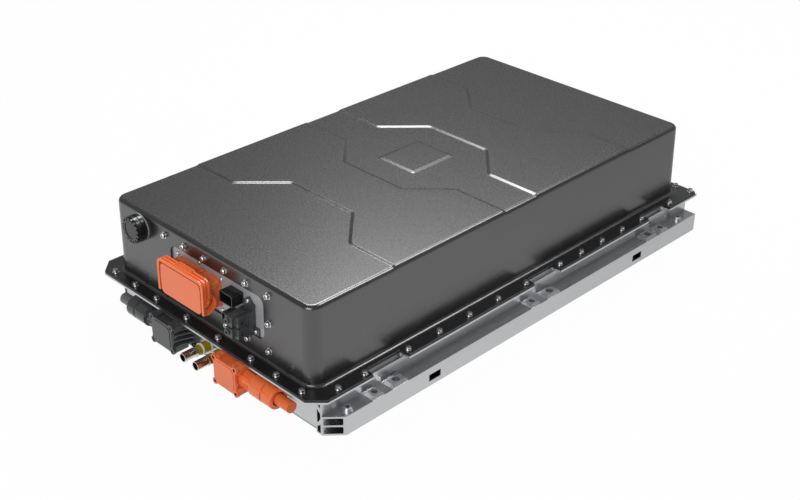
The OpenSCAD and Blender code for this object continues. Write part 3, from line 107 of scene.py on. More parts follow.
def seen_directly(tree, share=1.0):
    """A socket that is share for camera, glossy and transmission rays, and 0 for the rest."""
    path = tree.nodes.new("ShaderNodeLightPath")
    mirror = node(tree, "ShaderNodeMath", {
        0: path.outputs["Is Camera Ray"], 1: path.outputs["Is Glossy Ray"]}, operation="MAXIMUM")
    every = node(tree, "ShaderNodeMath", {
        0: mirror.outputs[0], 1: path.outputs["Is Transmission Ray"]}, operation="MAXIMUM")
    return node(tree, "ShaderNodeMath", {0: every.outputs[0], 1: share}, operation="MULTIPLY").outputs[0]


# %% Room
scene = bpy.context.scene
scene.view_settings.view_transform = "Standard"
WHITE = (1, 1, 1, 1)
# How strongly the room lights the pack, and how strong it looks in a reflection
ROOM_LIGHT, ROOM_MIRRORED = 0.46, 0.27
world = bpy.data.worlds.new("studio_room")
scene.world = world
world.use_nodes = True
room = world.node_tree
room.nodes.clear()
felt = node(room, "ShaderNodeBackground", {"Color": WHITE, "Strength": ROOM_LIGHT})
seen = node(room, "ShaderNodeBackground", {"Color": WHITE, "Strength": 1.0})
mirrored = node(room, "ShaderNodeBackground", {"Color": WHITE, "Strength": ROOM_MIRRORED})
mixed = node(room, "ShaderNodeMixShader", {
    "Fac": seen_directly(room), 1: felt.outputs[0], 2: seen.outputs[0]})
is_glossy = node(room, "ShaderNodeLightPath").outputs["Is Glossy Ray"]
parted = node(room, "ShaderNodeMixShader", {"Fac": is_glossy, 1: mixed.outputs[0], 2: mirrored.outputs[0]})
node(room, "ShaderNodeOutputWorld", {"Surface": parted.outputs[0]})
print("room light", ROOM_LIGHT, "and in reflections", ROOM_MIRRORED)


# %% Soft boxes
def soft_box(name, place, aim, size, watts):
    """A rectangular area lamp at place that looks at aim."""
    lamp = bpy.data.lights.new(name, "AREA")
    lamp.shape, lamp.size, lamp.size_y = "RECTANGLE", size[0], size[1]
    lamp.energy = watts
    obj = bpy.data.objects.new(name, lamp)
    obj.location = place
    obj.rotation_euler = (Vector(aim) - Vector(place)).to_track_quat("-Z", "Y").to_euler()
    scene.collection.objects.link(obj)


# Name, place, aim, size and power in watts
soft_box("box_back", (-1.2, 1.65, 2.6), (0, 0, 0.1), (1.6, 1.6), 22)
soft_box("box_edge", (0.68, 1.45, 2.5), (0.2, -0.2, 0.2), (0.9, 1.0), 30)
soft_box("box_ramp", (-1.05, 0.68, 2.3), (0, 0, 0.2), (1.1, 0.7), 26)
soft_box("box_front", (0.9, -2.4, 1.3), (0, 0, 0.1), (1.6, 1.2), 30)

# %% Floor
FLOOR_HALF, FLOOR_DROP = 6, 0.0005
FLOOR_TONE = (0.62, 0.62, 0.62, 1)
# The floor's glow in a reflection falls from front to rear; both places are metres along Y
GLOW_FROM, GLOW_TO, GLOW_LEFT = -0.3, 0.9, 0.7
# The share of the glow that the camera sees; the rest is lit paper, which shows the pack's shadow
GLOW_SHARE = 0.97
floor_mesh = bpy.data.meshes.new("floor")
floor_mesh.from_pydata([(x * FLOOR_HALF, y * FLOOR_HALF, 0) for x, y in ((-1, -1), (1, -1), (1, 1), (-1, 1))],
                       [], [(0, 1, 2, 3)])
floor = bpy.data.objects.new("floor", floor_mesh)
floor.location.z = -FLOOR_DROP
scene.collection.objects.link(floor)
paper = bpy.data.materials.new("floor_paper")
paper.use_nodes = True
tree = paper.node_tree
tree.nodes.clear()
matt = node(tree, "ShaderNodeBsdfDiffuse", {"Color": FLOOR_TONE})
along = node(tree, "ShaderNodeSeparateXYZ", {0: node(tree, "ShaderNodeTexCoord").outputs["Object"]})
fall_off = node(tree, "ShaderNodeMapRange", {
    "Value": along.outputs["Y"], "From Min": GLOW_FROM, "From Max": GLOW_TO,
    "To Min": 1.0, "To Max": GLOW_LEFT})
is_glossy = node(tree, "ShaderNodeLightPath").outputs["Is Glossy Ray"]
strength = node(tree, "ShaderNodeMix", {"Factor": is_glossy, 2: 1.0, 3: fall_off.outputs[0]}, data_type="FLOAT")
glow = node(tree, "ShaderNodeEmission", {"Color": WHITE, "Strength": strength.outputs[0]})
mixed = node(tree, "ShaderNodeMixShader", {
    "Fac": seen_directly(tree, GLOW_SHARE), 1: matt.outputs[0], 2: glow.outputs[0]})
node(tree, "ShaderNodeOutputMaterial", {"Surface": mixed.outputs[0]})
floor_mesh.materials.append(paper)
print("floor:", 2 * FLOOR_HALF, "m square")

# %% [markdown]
# ## Finishes that several materials share
#
# Moulded plastic has a fine grain from the tool's eroded steel, extruded aluminium has die lines
# along its length, and every real surface varies a little from place to place. Each of these is a
# node group, built once, with the numbers that differ as its inputs. Image textures would need maps
# and seams, while noise in object space has no seams and never repeats.

# %% Helpers for node groups
def rgb(r, g, b):
    """A screen colour of 0 to 255 as linear light."""
    def line(v):
        v /= 255
        return v / 12.92 if v <= 0.04045 else ((v + 0.055) / 1.055) ** 2.4
    return (line(r), line(g), line(b), 1)


def new_group(name, inputs, outputs):
    """An empty shader group with float sockets; returns its tree, input node and output node."""
    tree = bpy.data.node_groups.new(name, "ShaderNodeTree")
    for label, value in inputs:
        socket = tree.interface.new_socket(name=label, in_out="INPUT", socket_type="NodeSocketFloat")
        socket.default_value = value
    for label in outputs:
        tree.interface.new_socket(name=label, in_out="OUTPUT", socket_type="NodeSocketFloat")
    return tree, tree.nodes.new("NodeGroupInput"), tree.nodes.new("NodeGroupOutput")


# %% Moulded grain
grain_group, grain_in, grain_out = new_group(
    "moulded_grain", [("Cells per metre", 900), ("Pore depth", 1.0), ("Fine detail", 2.0)], ["Height", "Speck"])
where = node(grain_group, "ShaderNodeTexCoord").outputs["Object"]
pores = node(grain_group, "ShaderNodeTexVoronoi", {
    "Vector": where, "Scale": grain_in.outputs["Cells per metre"], "Smoothness": 0.5}, feature="SMOOTH_F1")
dust = node(grain_group, "ShaderNodeTexNoise", {
    "Vector": where, "Scale": grain_in.outputs["Cells per metre"], "Detail": grain_in.outputs["Fine detail"]})
height = node(grain_group, "ShaderNodeMath", {
    0: pores.outputs["Distance"], 1: grain_in.outputs["Pore depth"], 2: dust.outputs["Fac"]},
    operation="MULTIPLY_ADD")
# Only the noise's upper half counts as specks
speck = node(grain_group, "ShaderNodeMapRange", {
    "Value": dust.outputs["Fac"], "From Min": 0.42, "From Max": 0.68})
grain_group.links.new(height.outputs[0], grain_out.inputs["Height"])
grain_group.links.new(speck.outputs[0], grain_out.inputs["Speck"])

# %% Die lines of an extrusion or a brushed sheet
# Layered noise hardly leaves this range, which is stretched to 0 to 1
NOISE_SPAN = (0.3, 0.7)
line_group, line_in, line_out = new_group(
    "die_lines", [("Along X", 4), ("Along Y", 4), ("Along Z", 4)], ["Height", "Streak"])
where = node(line_group, "ShaderNodeTexCoord").outputs["Object"]
stretch = node(line_group, "ShaderNodeCombineXYZ", {
    "X": line_in.outputs["Along X"], "Y": line_in.outputs["Along Y"], "Z": line_in.outputs["Along Z"]})
scaled = node(line_group, "ShaderNodeVectorMath", {0: where, 1: stretch.outputs[0]}, operation="MULTIPLY")
lines = node(line_group, "ShaderNodeTexNoise", {"Vector": scaled.outputs[0], "Scale": 1.0, "Detail": 4.0})
streak = node(line_group, "ShaderNodeMapRange", {
    "Value": lines.outputs["Fac"], "From Min": NOISE_SPAN[0], "From Max": NOISE_SPAN[1]})
line_group.links.new(lines.outputs["Fac"], line_out.inputs["Height"])
line_group.links.new(streak.outputs[0], line_out.inputs["Streak"])

# %% Slow change from place to place
drift_group, drift_in, drift_out = new_group("slow_drift", [("Patches per metre", 6)], ["Amount"])
where = node(drift_group, "ShaderNodeTexCoord").outputs["Object"]
cloud = node(drift_group, "ShaderNodeTexNoise",
             {"Vector": where, "Scale": drift_in.outputs["Patches per metre"], "Detail": 3.0})
spread = node(drift_group, "ShaderNodeMapRange", {
    "Value": cloud.outputs["Fac"], "From Min": NOISE_SPAN[0], "From Max": NOISE_SPAN[1]})
drift_group.links.new(spread.outputs[0], drift_out.inputs["Amount"])
print("groups:", [g.name for g in bpy.data.node_groups])

# %% [markdown]
# ## One recipe for a finish
#
# Every material here is a Principled shader. What differs is the colour, how rough it is, whether it
# is metal, and which of the shared groups shapes its surface. A single function keeps that readable:
# each material below is then one call with its own numbers. The real lid has its grain on the top
# only, since a moulded wall is pulled smooth as it leaves the tool. A mask from the surface's
# direction, 1 where it faces straight up, keeps the grain there, and no second material is needed.

# %% The recipe
def place_group(tree, group, **values):
    """The group as a node, its inputs set by name with underscores for spaces."""
    made = tree.nodes.new("ShaderNodeGroup")
    made.node_tree = group
    for key, value in values.items():
        made.inputs[key.replace("_", " ")].default_value = value
    return made


# How much of a finish's variation comes from its grain or its lines; the rest is slow drift
GRAIN_SHARE, LINE_SHARE = 0.55, 0.6
# The upward part of the normal where the mask of the top starts and where it is full
FACING_UP = (0.99, 0.999)


def finish(name, colour, rough, metal=0.0, grain=None, lines=None, shade=0.12, wander=0.08, ior=1.5,
           top_rough=0):
    """A material; shade and wander are how far colour and roughness vary.

    grain is (cells per metre, bump height in mm) and lines is ((x, y, z) stretch, bump height in mm).
    With top_rough the grain stays on faces that look up, which are that much rougher.
    """
    made = bpy.data.materials.new(name)
    made.use_nodes = True
    tree = made.node_tree
    shader = tree.nodes["Principled BSDF"]
    shader.inputs["Metallic"].default_value = metal
    shader.inputs["IOR"].default_value = ior
    mask = place_group(tree, drift_group).outputs["Amount"]
    if grain:
        share = GRAIN_SHARE
        marks = place_group(tree, grain_group, Cells_per_metre=grain[0])
        if top_rough:
            # A plain, even grain: pores and fine detail would blur at this size
            marks.inputs["Pore depth"].default_value = marks.inputs["Fine detail"].default_value = 0.0
            normal = node(tree, "ShaderNodeNewGeometry").outputs["Normal"]
            upward = node(tree, "ShaderNodeSeparateXYZ", {0: normal}).outputs["Z"]
            share = level = node(tree, "ShaderNodeMapRange", {
                "Value": upward, "From Min": FACING_UP[0], "From Max": FACING_UP[1]}).outputs[0]
        depth, change = grain[1] * MM, marks.outputs["Speck"]
    else:
        (x, y, z), depth_mm = lines
        share = LINE_SHARE
        marks = place_group(tree, line_group, Along_X=x, Along_Y=y, Along_Z=z)
        depth, change = depth_mm * MM, marks.outputs["Streak"]
    mask = node(tree, "ShaderNodeMix", {"Factor": share, 2: mask, 3: change}, data_type="FLOAT").outputs[0]
    dark = tuple(c * (1 - shade) for c in colour[:3]) + (1,)
    light = tuple(min(1, c * (1 + shade)) for c in colour[:3]) + (1,)
    tone = node(tree, "ShaderNodeMix", {"Factor": mask, 6: dark, 7: light}, data_type="RGBA")
    tree.links.new(tone.outputs[2], shader.inputs["Base Color"])
    sheen = node(tree, "ShaderNodeMapRange", {
        "Value": mask, "To Min": max(0.03, rough - wander), "To Max": min(1, rough + wander)})
    bump = node(tree, "ShaderNodeBump", {"Height": marks.outputs["Height"], "Distance": depth, "Strength": 1.0})
    if top_rough:
        tree.links.new(level, bump.inputs["Strength"])
        sheen = node(tree, "ShaderNodeMath", {0: level, 1: top_rough, 2: sheen.outputs[0]},
                     operation="MULTIPLY_ADD")
    tree.links.new(sheen.outputs[0], shader.inputs["Roughness"])
    tree.links.new(bump.outputs[0], shader.inputs["Normal"])
    return made


# %% [markdown]
# ## The finishes
#
# The cover is a moulded dark compound, glossy enough to mirror the studio, so its index of refraction
# is high for a plastic. The frame is extruded aluminium with fine lines along its length. The
# connectors are glass-filled nylon: orange for the high voltage, as on every electric vehicle, greys
# and blacks for the rest. Colours are written as they look on a screen and turned into light by rgb.

# %% Materials, by the record's slots
# Die lines run along Y: noise that is squeezed across the pack and drawn out along it
ALONG_PACK = (260, 3, 260)
looks = {
    "cover": finish("cover_compound", rgb(32, 32, 33), 0.27, grain=(430, 0.05), shade=0.45, wander=0.03,
                    ior=1.9, top_rough=0.02),
    "gasket_grey": finish("gasket_grey", rgb(150, 152, 154), 0.6, grain=(1500, 0.05)),
    "rubber_black": finish("gasket_rubber", rgb(30, 30, 32), 0.75, grain=(1500, 0.05)),
    "aluminium_satin": finish("frame_aluminium", rgb(190, 191, 193), 0.3, metal=1.0, lines=(ALONG_PACK, 0.005),
                              shade=0.06),
    "black_paint": finish("flange_black", rgb(26, 26, 27), 0.32, grain=(1400, 0.04), shade=0.1),
    "bottom_panel": finish("bottom_sheet", rgb(150, 156, 158), 0.5, metal=0.6, lines=(ALONG_PACK, 0.02)),
    "seal_teal": finish("seal_teal", rgb(98, 158, 152), 0.6, grain=(1200, 0.05)),
    "cold_plate_aluminium": finish("plate_aluminium", rgb(188, 190, 194), 0.4, metal=0.8,
                                   lines=(ALONG_PACK, 0.02)),
    "bushing_steel": finish("bushing_metal", rgb(205, 206, 208), 0.28, metal=0.9, grain=(2200, 0.01),
                            shade=0.08),
    "screw_steel": finish("screw_steel", rgb(214, 214, 216), 0.26, metal=1.0, grain=(3000, 0.01), shade=0.1),
    "panel_aluminium": finish("panel_blasted", rgb(172, 173, 175), 0.5, metal=0.5, grain=(2400, 0.04),
                              shade=0.08),
    "orange_plastic": finish("orange_nylon", rgb(230, 112, 60), 0.2, grain=(1600, 0.006), shade=0.05,
                             wander=0.04),
    "orange_cable": finish("orange_sheath", rgb(222, 104, 52), 0.34, grain=(900, 0.01), shade=0.05),
    "grey_cable": finish("grey_sheath", rgb(96, 98, 100), 0.42, grain=(900, 0.02), shade=0.05),
    "black_plastic": finish("black_nylon", rgb(26, 27, 28), 0.22, grain=(1600, 0.01), shade=0.12),
    "dark_grey_plastic": finish("dark_nylon", rgb(62, 63, 64), 0.24, grain=(1600, 0.01), shade=0.1),
    "grey_plastic": finish("grey_nylon", rgb(64, 65, 66), 0.2, grain=(1600, 0.015), shade=0.08, wander=0.04),
    "tube_aluminium": finish("tube_metal", rgb(205, 200, 194), 0.12, metal=1.0, grain=(2600, 0.01), shade=0.06),
    "clip_white": finish("clip_white", rgb(226, 226, 220), 0.4, grain=(1500, 0.02), shade=0.04),
    "collar_olive": finish("collar_olive", rgb(150, 130, 16), 0.4, grain=(1500, 0.02), shade=0.08),
    "cell_blue": finish("cell_film", rgb(60, 104, 170), 0.3, grain=(1200, 0.01)),
    "copper": finish("bar_copper", rgb(200, 130, 90), 0.3, metal=1.0, grain=(2400, 0.01)),
    "board_green": finish("board_lacquer", rgb(28, 96, 56), 0.35, grain=(1500, 0.02)),
}
for entry in frame["record"]["subparts"]:
    solid = frame["nodes"][entry["node"]]
    if not solid.material_slots:
        solid.data.materials.append(None)
    for holder in solid.material_slots:
        holder.link = "OBJECT"
        holder.material = looks[entry["material_slot"]]
# The power connectors' screws are burnished darker than the rest
burnished = finish("screw_burnished", rgb(66, 66, 68), 0.35, metal=1.0, grain=(3000, 0.01))
frame["nodes"]["hv_screws"].material_slots[0].material = burnished
print("finishes:", len(looks) + 1)

# %% [markdown]
# ## Helpers for new skins
#
# A new piece needs four things: its mesh, a finish, the body that it rides on and the solid that it
# stands for. Edges that are sharper than a set angle stay crisp, and everything else is shaded
# smooth, which is how a moulded part catches light. A narrow slope beside a wide flat would tint the
# flat's corners, so the wide faces are given more weight, and modifiers are applied as soon as they
# are made, because the next step works on their result.

# %% Piece helpers
def smooth(mesh, limit):
    """Smooth shading, with edges sharper than limit degrees kept crisp."""
    work = bmesh.new()
    work.from_mesh(mesh)
    for face in work.faces:
        face.smooth = True
    for edge in work.edges:
        edge.smooth = len(edge.link_faces) == 2 and edge.calc_face_angle(0) < math.radians(limit)
    work.to_mesh(mesh)
    work.free()


def add_piece(name, mesh, look, stands_for, body="pack"):
    """A new object with its finish, body and the solid that it replaces."""
    obj = bpy.data.objects.new(name, mesh)
    scene.collection.objects.link(obj)
    mesh.materials.clear()
    mesh.materials.append(looks[look])
    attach(obj, body)
    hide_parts(stands_for)
    return obj


def settle(obj):
    """Applies the object's modifiers to its own mesh."""
    bpy.context.view_layer.update()
    seen_mesh = bpy.data.meshes.new_from_object(
        obj.evaluated_get(bpy.context.evaluated_depsgraph_get()))
    obj.modifiers.clear()
    obj.data = seen_mesh


def weigh(obj):
    """Lets big faces decide the shading of their corners, so flats stay flat beside narrow ramps."""
    tool = obj.modifiers.new("weigh", "WEIGHTED_NORMAL")
    tool.keep_sharp, tool.weight = True, 100
    settle(obj)


# %% [markdown]
# ## Cover skin
#
# The lid is one deep moulding: walls with a slight draft, round corners, an eight-millimetre edge and
# shallow raised zones on top, whose borders step sideways like a circuit. A subdivided box would
# smear those borders. Instead the top is a grid whose rows follow the four borders, so each ramp is
# a strip of narrow faces, and the walls are rings dropped from the grid's edge. All sizes are in
# millimetres; heights count from the flange up.

# %% Cover: sizes
# Half the foot's width and length, the flange's top above the ground, the top and the zones above it
FOOT_X, FOOT_Y = 266.0, 489.0
RIM_Z, TOP_H, ZONE_H = 73.8, 147.3, 2.0
DRAFT = math.radians(1.2)
CORNER_R, EDGE_R, FOOT_R = 24.0, 8.0, 5.0
# Width of the slope round a zone, and the small island in the middle
RAMP = 6.6
ISLAND_X, ISLAND_Y = 43.6, (-43.0, 58.0)
# Each border: its place at the sides, its place in the middle, and where the slant starts and ends
BORDERS = [(-304, -229, 154.5, 81), (-37, -104, 144, 76), (50, 123, 145, 75), (318, 247, 156.5, 80)]
flat_r = CORNER_R - (EDGE_R + math.sin(DRAFT) * (TOP_H - EDGE_R)) / math.cos(DRAFT)
flat_x, flat_y = FOOT_X - CORNER_R + flat_r, FOOT_Y - CORNER_R + flat_r
print("flat of the top:", round(2 * flat_x, 1), "x", round(2 * flat_y, 1), "mm")


# %% Cover: the borders as smooth curves
def border_at(border, x):
    """Place of a border at x, its corners rounded by averaging over a short stretch."""
    y_side, y_mid, x_side, x_mid = border
    total, steps, reach = 0, 9, 5.0
    for k in range(steps):
        u = abs(x + reach * (2 * k / (steps - 1) - 1))
        t = min(1, max(0, (x_side - u) / (x_side - x_mid)))
        total += y_side + (y_mid - y_side) * t
    return total / steps


def ramp_width(border, x):
    """Half length of a ramp along Y: a slanted border needs more for the same slope."""
    slope = border_at(border, x + 0.5) - border_at(border, x - 0.5)
    return RAMP / 2 * math.sqrt(1 + slope * slope)


def step(t):
    """Rise from 0 to 1 as t goes from -1 to 1: straight, with rounded ends."""
    t = min(1, max(-1, t))
    return 0.5 + t * (5 - t ** 4) / 8


def zone_height(x, y):
    """Height of the raised zones above the low top."""
    rise = sum(sign * step((y - border_at(b, x)) / ramp_width(b, x))
               for b, sign in zip(BORDERS, (1, -1, 1, -1)))
    island = step((ISLAND_X - abs(x)) * 2 / RAMP)
    island *= step((y - ISLAND_Y[0]) * 2 / RAMP) * step((ISLAND_Y[1] - y) * 2 / RAMP)
    return ZONE_H * (rise + island)


# %% Cover: columns of the grid
# Lines across a slope, from -1 at its foot to 1 at its head
ACROSS_RAMP = (-1, -0.75, -0.25, 0.25, 0.75, 1)
CORNER_STEPS = 8
COLUMN_GAP, EDGE_GAP = 16, 1.5


def filled(stops, gap):
    """The sorted stops, with even steps of at most gap between them."""
    stops = sorted(set(round(s, 3) for s in stops))
    made = [stops[0]]
    for stop in stops[1:]:
        count = math.ceil((stop - made[-1]) / gap)
        start = made[-1]
        made += [start + (stop - start) * (k + 1) / count for k in range(count)]
    return made


turns = [s * b[k] for b in BORDERS for k in (2, 3) for s in (-1, 1)]
stops = [-flat_x, -flat_x + EDGE_GAP, flat_x - EDGE_GAP, flat_x]
stops += [t + d for t in turns for d in (-6, -2, 2, 6)]
stops += [s * ISLAND_X + d * RAMP / 2 for s in (-1, 1) for d in ACROSS_RAMP]
columns = filled(stops, COLUMN_GAP)
print("columns:", len(columns))

# %% Cover: rows of the grid
ROWS_BETWEEN = 8
corner = [math.radians(90 * k / CORNER_STEPS) for k in range(CORNER_STEPS + 1)]
mid_start = border_at(BORDERS[1], 0)
mid_gap = border_at(BORDERS[2], 0) - mid_start
island_rows = [ISLAND_Y[s] + d * RAMP / 2 for s in (0, 1) for d in ACROSS_RAMP]
# The rows between the two middle borders also follow the island's slopes
beside_island = sorted([(m - mid_start) / mid_gap for m in island_rows] + [0.1, 0.4, 0.5, 0.6, 0.85])


def row_places(x):
    """The Y of every row in the column at x, front to rear."""
    near = [-flat_y + flat_r * (1 - math.cos(a)) for a in corner]
    rows = [*near, near[-1] + EDGE_GAP]
    for k, border in enumerate(BORDERS):
        y, w = border_at(border, x), ramp_width(border, x)
        if k == 2:
            start, end, shares = border_at(BORDERS[1], x), y, beside_island
        else:
            start, end, shares = rows[-1], y - w, [j / ROWS_BETWEEN for j in range(1, ROWS_BETWEEN)]
        rows += [start + (end - start) * t for t in shares]
        rows += [y + w * d for d in ACROSS_RAMP]
    far = [flat_y - flat_r * (1 - math.cos(a)) for a in reversed(corner)]
    start, end = rows[-1], far[0] - EDGE_GAP
    rows += [start + (end - start) * j / ROWS_BETWEEN for j in range(1, ROWS_BETWEEN + 1)]
    return rows + far


print("rows:", len(row_places(0)))


# %% Cover: the top as a grid with its rim
def top_grid():
    """Points and faces of the top, and its rim: each rim point with the way it faces in degrees."""
    points, faces = [], []
    grid = [row_places(x) for x in columns]
    row_count, column_count = len(grid[0]), len(columns)
    last = row_count - 1

    def at(i, j):
        return i * row_count + j

    def turned(j):
        """How far the corner has turned at row j, counted from the nearer end."""
        return math.degrees(corner[min(j, last - j, CORNER_STEPS)])

    for x, rows in zip(columns, grid):
        for j, y in enumerate(rows):
            reach = (flat_x - flat_r + flat_r * math.sin(math.radians(turned(j)))) / flat_x
            points.append((x * reach, y, TOP_H + zone_height(x, y)))
    for i in range(column_count - 1):
        for j in range(last):
            faces.append((at(i, j), at(i + 1, j), at(i + 1, j + 1), at(i, j + 1)))
    rim = [(at(i, 0), -90) for i in range(column_count)]
    rim += [(at(column_count - 1, j), turned(j) - 90 if j < last / 2 else 90 - turned(j))
            for j in range(1, row_count)]
    rim += [(at(i, last), 90) for i in range(column_count - 2, -1, -1)]
    rim += [(at(0, j), 90 + turned(j) if j > last / 2 else 270 - turned(j)) for j in range(last - 1, 0, -1)]
    return points, faces, rim


# %% Cover: the section of the wall
EDGE_STEPS, FOOT_STEPS = 7, 5
WALL_RINGS = (110, 80, 45)


def wall_section():
    """From the top's rim down: how far outside the flat, how high, and its share of the zones' height."""
    low_z = TOP_H - EDGE_R
    section = []
    for k in range(1, EDGE_STEPS + 1):
        a = math.radians(90 - (90 - math.degrees(DRAFT)) * k / EDGE_STEPS)
        section.append((EDGE_R * math.cos(a), low_z + EDGE_R * math.sin(a), math.sin(a)))
    for z in (low_z - 2, *WALL_RINGS, FOOT_R + 2):
        section.append((CORNER_R - z * math.tan(DRAFT) - flat_r, z, 0))
    for k in range(FOOT_STEPS + 1):
        a = math.radians(180 + 90 * k / FOOT_STEPS)
        section.append((CORNER_R + FOOT_R - flat_r + FOOT_R * math.cos(a), FOOT_R + FOOT_R * math.sin(a), 0))
    return section


# %% Cover: mesh
def cover_mesh():
    """The top's grid with rings dropped from its rim along the section."""
    points, faces, rim = top_grid()
    ring = [i for i, _ in rim]
    for out_by, z, share in wall_section():
        below = []
        for index, degrees in rim:
            x, y, top = points[index]
            a = math.radians(degrees)
            points.append((x + out_by * math.cos(a), y + out_by * math.sin(a), z + share * (top - TOP_H)))
            below.append(len(points) - 1)
        for k in range(len(ring)):
            n = (k + 1) % len(ring)
            faces.append((ring[k], below[k], below[n], ring[n]))
        ring = below
    mesh = bpy.data.meshes.new("cover_skin")
    mesh.from_pydata([(x * MM, y * MM, (RIM_Z + z) * MM) for x, y, z in points], [], faces)
    return mesh


skin = add_piece("cover_skin", cover_mesh(), "cover", "top_cover")
print("cover skin faces:", len(skin.data.polygons))

# %% [markdown]
# ## Window and valve hole in the front wall
#
# The service window is cut after moulding, so its edge is plain and square. The faces inside its
# outline could be deleted, but that leaves an edge without thickness. Giving the skin the wall's
# thickness first and cutting it with a solid plug, as a router would, leaves the true edge.

# %% Cutters for the front wall
# Place across and up the wall, then width, height and corner radius
WINDOW_PLACE, WINDOW_SIZE = (24.6, 76.2), (247.4, 80.0, 14.0)
VALVE_PLACE, VALVE_R = (-184.5, 116.2), 15.4
WALL = 3.0
# How far a plug reaches outside and inside the wall's outer face
PLUG_REACH = (-8, 9)


def wall_frame():
    """Matrix of the front wall: X across, Z up the wall, -Y outward."""
    return Matrix.Translation((0, -FOOT_Y * MM, RIM_Z * MM)) @ Matrix.Rotation(-DRAFT, 4, "X")


def rounded_loop(w, h, r, steps=6):
    """Points of a round-cornered rectangle round the origin, in mm."""
    loop = []
    for cx, cz, start in ((w / 2 - r, h / 2 - r, 0), (r - w / 2, h / 2 - r, 90), (r - w / 2, r - h / 2, 180),
                          (w / 2 - r, r - h / 2, 270)):
        for k in range(steps + 1):
            a = math.radians(start + 90 * k / steps)
            loop.append((cx + r * math.cos(a), cz + r * math.sin(a)))
    return loop


def plug_mesh(loop, middle):
    """A prism through the wall with its middle at that place on the wall."""
    place, (x0, z0) = wall_frame(), middle
    points = [place @ Vector(((x + x0) * MM, y * MM, (z + z0) * MM)) for y in PLUG_REACH for x, z in loop]
    n = len(loop)
    faces = [tuple(range(n)), tuple(range(2 * n - 1, n - 1, -1))]
    faces += [(k, k + n, (k + 1) % n + n, (k + 1) % n) for k in range(n)]
    mesh = bpy.data.meshes.new("plug")
    mesh.from_pydata(points, [], faces)
    work = bmesh.new()
    work.from_mesh(mesh)
    bmesh.ops.recalc_face_normals(work, faces=work.faces)
    work.to_mesh(mesh)
    work.free()
    return mesh


def cut(obj, cutter_mesh):
    """Takes the cutter out of obj."""
    cutter = bpy.data.objects.new("cutter", cutter_mesh)
    scene.collection.objects.link(cutter)
    tool = obj.modifiers.new("cut", "BOOLEAN")
    tool.operation, tool.object, tool.solver = "DIFFERENCE", cutter, "EXACT"
    settle(obj)
    bpy.data.objects.remove(cutter)


# %% Cut the front wall
shell = skin.modifiers.new("wall", "SOLIDIFY")
shell.thickness, shell.offset, shell.use_even_offset = WALL * MM, -1, True
settle(skin)
cut(skin, plug_mesh(rounded_loop(*WINDOW_SIZE), WINDOW_PLACE))
# The valve's hole is a square whose corners are rounded until almost nothing of its sides is left
cut(skin, plug_mesh(rounded_loop(2 * VALVE_R, 2 * VALVE_R, VALVE_R - 0.01), VALVE_PLACE))
smooth(skin.data, 30)
weigh(skin)
print("cover after cuts:", len(skin.data.polygons), "faces")

# %% [markdown]
# ## Cover flange
#
# The foot of the lid turns out into a flat flange with notches that let a socket reach the mounting
# bolts. It could be cut from the lid's own mesh, but a plate of its own keeps its long edges straight.
# Its outline is traced once on the right side and mirrored; the rolled edge comes from a small bevel,
# which is what makes its rim show as a bright line.

# %% Flange
FLANGE_X, FLANGE_FRONT, FLANGE_REAR = 300.6, -515.2, 517.0
FLANGE_CHAMFER, REAR_CHAMFER, FLANGE_EDGE = 25.7, 6.0, 0.9
# Each notch: its middle along Y and its length
NOTCHES = [(-349.9, 81.3), (45.7, 74.3), (388.2, 70.2)]
NOTCH_DEPTH, NOTCH_LEAD = 20.1, 2.5
FLANGE_Z = (70.8, 73.8)
# An edge that turns more than this many degrees is rounded, and stays crisp where it can't be
SHARP = 40


def flange_side():
    """The right half of the outline, front to rear."""
    side = [(FLANGE_X - FLANGE_CHAMFER, FLANGE_FRONT), (FLANGE_X, FLANGE_FRONT + FLANGE_CHAMFER)]
    for middle, length in NOTCHES:
        a, b, inner = middle - length / 2, middle + length / 2, FLANGE_X - NOTCH_DEPTH
        side += [(FLANGE_X, a), (inner, a + NOTCH_LEAD), (inner, b - NOTCH_LEAD), (FLANGE_X, b)]
    return side + [(FLANGE_X, FLANGE_REAR - REAR_CHAMFER), (FLANGE_X - REAR_CHAMFER, FLANGE_REAR)]


def plate_mesh(name, loop, low, high):
    """A flat plate with that outline, in mm."""
    work = bmesh.new()
    base = [work.verts.new((x * MM, y * MM, low * MM)) for x, y in loop]
    face = work.faces.new(base)
    raised = bmesh.ops.extrude_face_region(work, geom=[face])
    for item in raised["geom"]:
        if isinstance(item, bmesh.types.BMVert):
            item.co.z = high * MM
    bmesh.ops.recalc_face_normals(work, faces=work.faces)
    mesh = bpy.data.meshes.new(name)
    work.to_mesh(mesh)
    work.free()
    return mesh


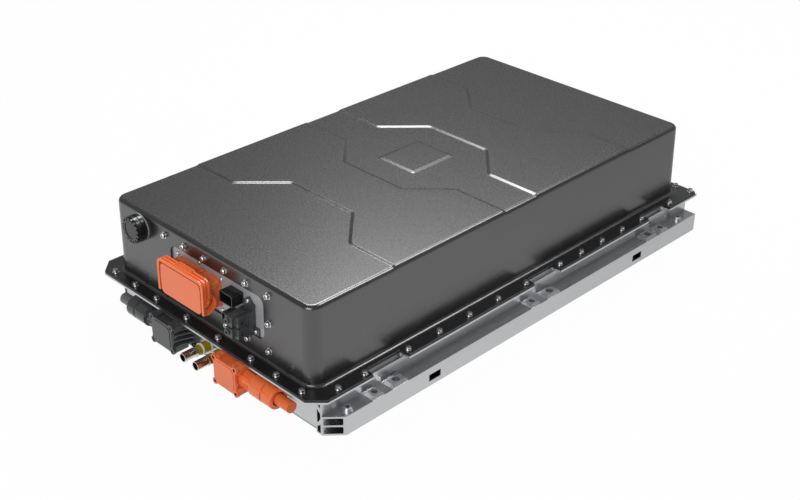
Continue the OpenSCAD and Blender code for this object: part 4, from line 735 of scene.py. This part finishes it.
def round_edges(obj, width, segments):
    """Rounds the piece's sharp edges by width in mm."""
    tool = obj.modifiers.new("round", "BEVEL")
    tool.width, tool.segments, tool.limit_method = width * MM, segments, "ANGLE"
    tool.angle_limit, tool.harden_normals = math.radians(SHARP), False
    settle(obj)
    smooth(obj.data, SHARP)
    weigh(obj)


outline = flange_side() + [(-x, y) for x, y in reversed(flange_side())]
flange = add_piece("cover_flange", plate_mesh("cover_flange", outline, *FLANGE_Z), "black_paint", "top_cover")
round_edges(flange, FLANGE_EDGE, 3)
print("flange faces:", len(flange.data.polygons))

# %% [markdown]
# ## Softened mouldings
#
# No moulded part has a knife edge: the tool is rounded, and the light runs along that rounding. A
# bevel on the solid's own triangles would catch on their diagonals. So each connector piece is copied
# from its solid, its flat faces are joined again, and a narrow bevel is laid on every sharp edge. The
# copy then stands for the solid.

# %% Round the edges of the connector mouldings
# Points this close in metres are one, and faces within this many degrees are one flat face
SAME_POINT, FLAT_WITHIN = 2e-6, 1.5


def softened(name, width, body="pack"):
    """A copy of a solid with its edges rounded by width in mm, that stands for it."""
    mesh = frame["nodes"][name].data.copy()
    work = bmesh.new()
    work.from_mesh(mesh)
    bmesh.ops.remove_doubles(work, verts=work.verts, dist=SAME_POINT)
    bmesh.ops.dissolve_limit(work, angle_limit=math.radians(FLAT_WITHIN), verts=work.verts, edges=work.edges)
    work.to_mesh(mesh)
    work.free()
    entry = next(e for e in frame["record"]["subparts"] if e["node"] == name)
    obj = add_piece(name + "_moulded", mesh, entry["material_slot"], name, body)
    round_edges(obj, width, 2)
    print(obj.name, len(obj.data.polygons), "faces")


for name in ("msd_base", "lv_header_upper", "lv_header_lower", "lv_header_side", "lv_plug", "valve_cap",
             "hv_minus_housing", "hv_minus_cover", "hv_minus_gland", "hv_minus_nut",
             "hv_plus_housing", "hv_plus_cover", "hv_plus_gland", "hv_plus_nut"):
    softened(name, 0.6)
softened("msd_plug", 0.5, "disconnect_plug")
softened("msd_lever", 0.4, "disconnect_lever")
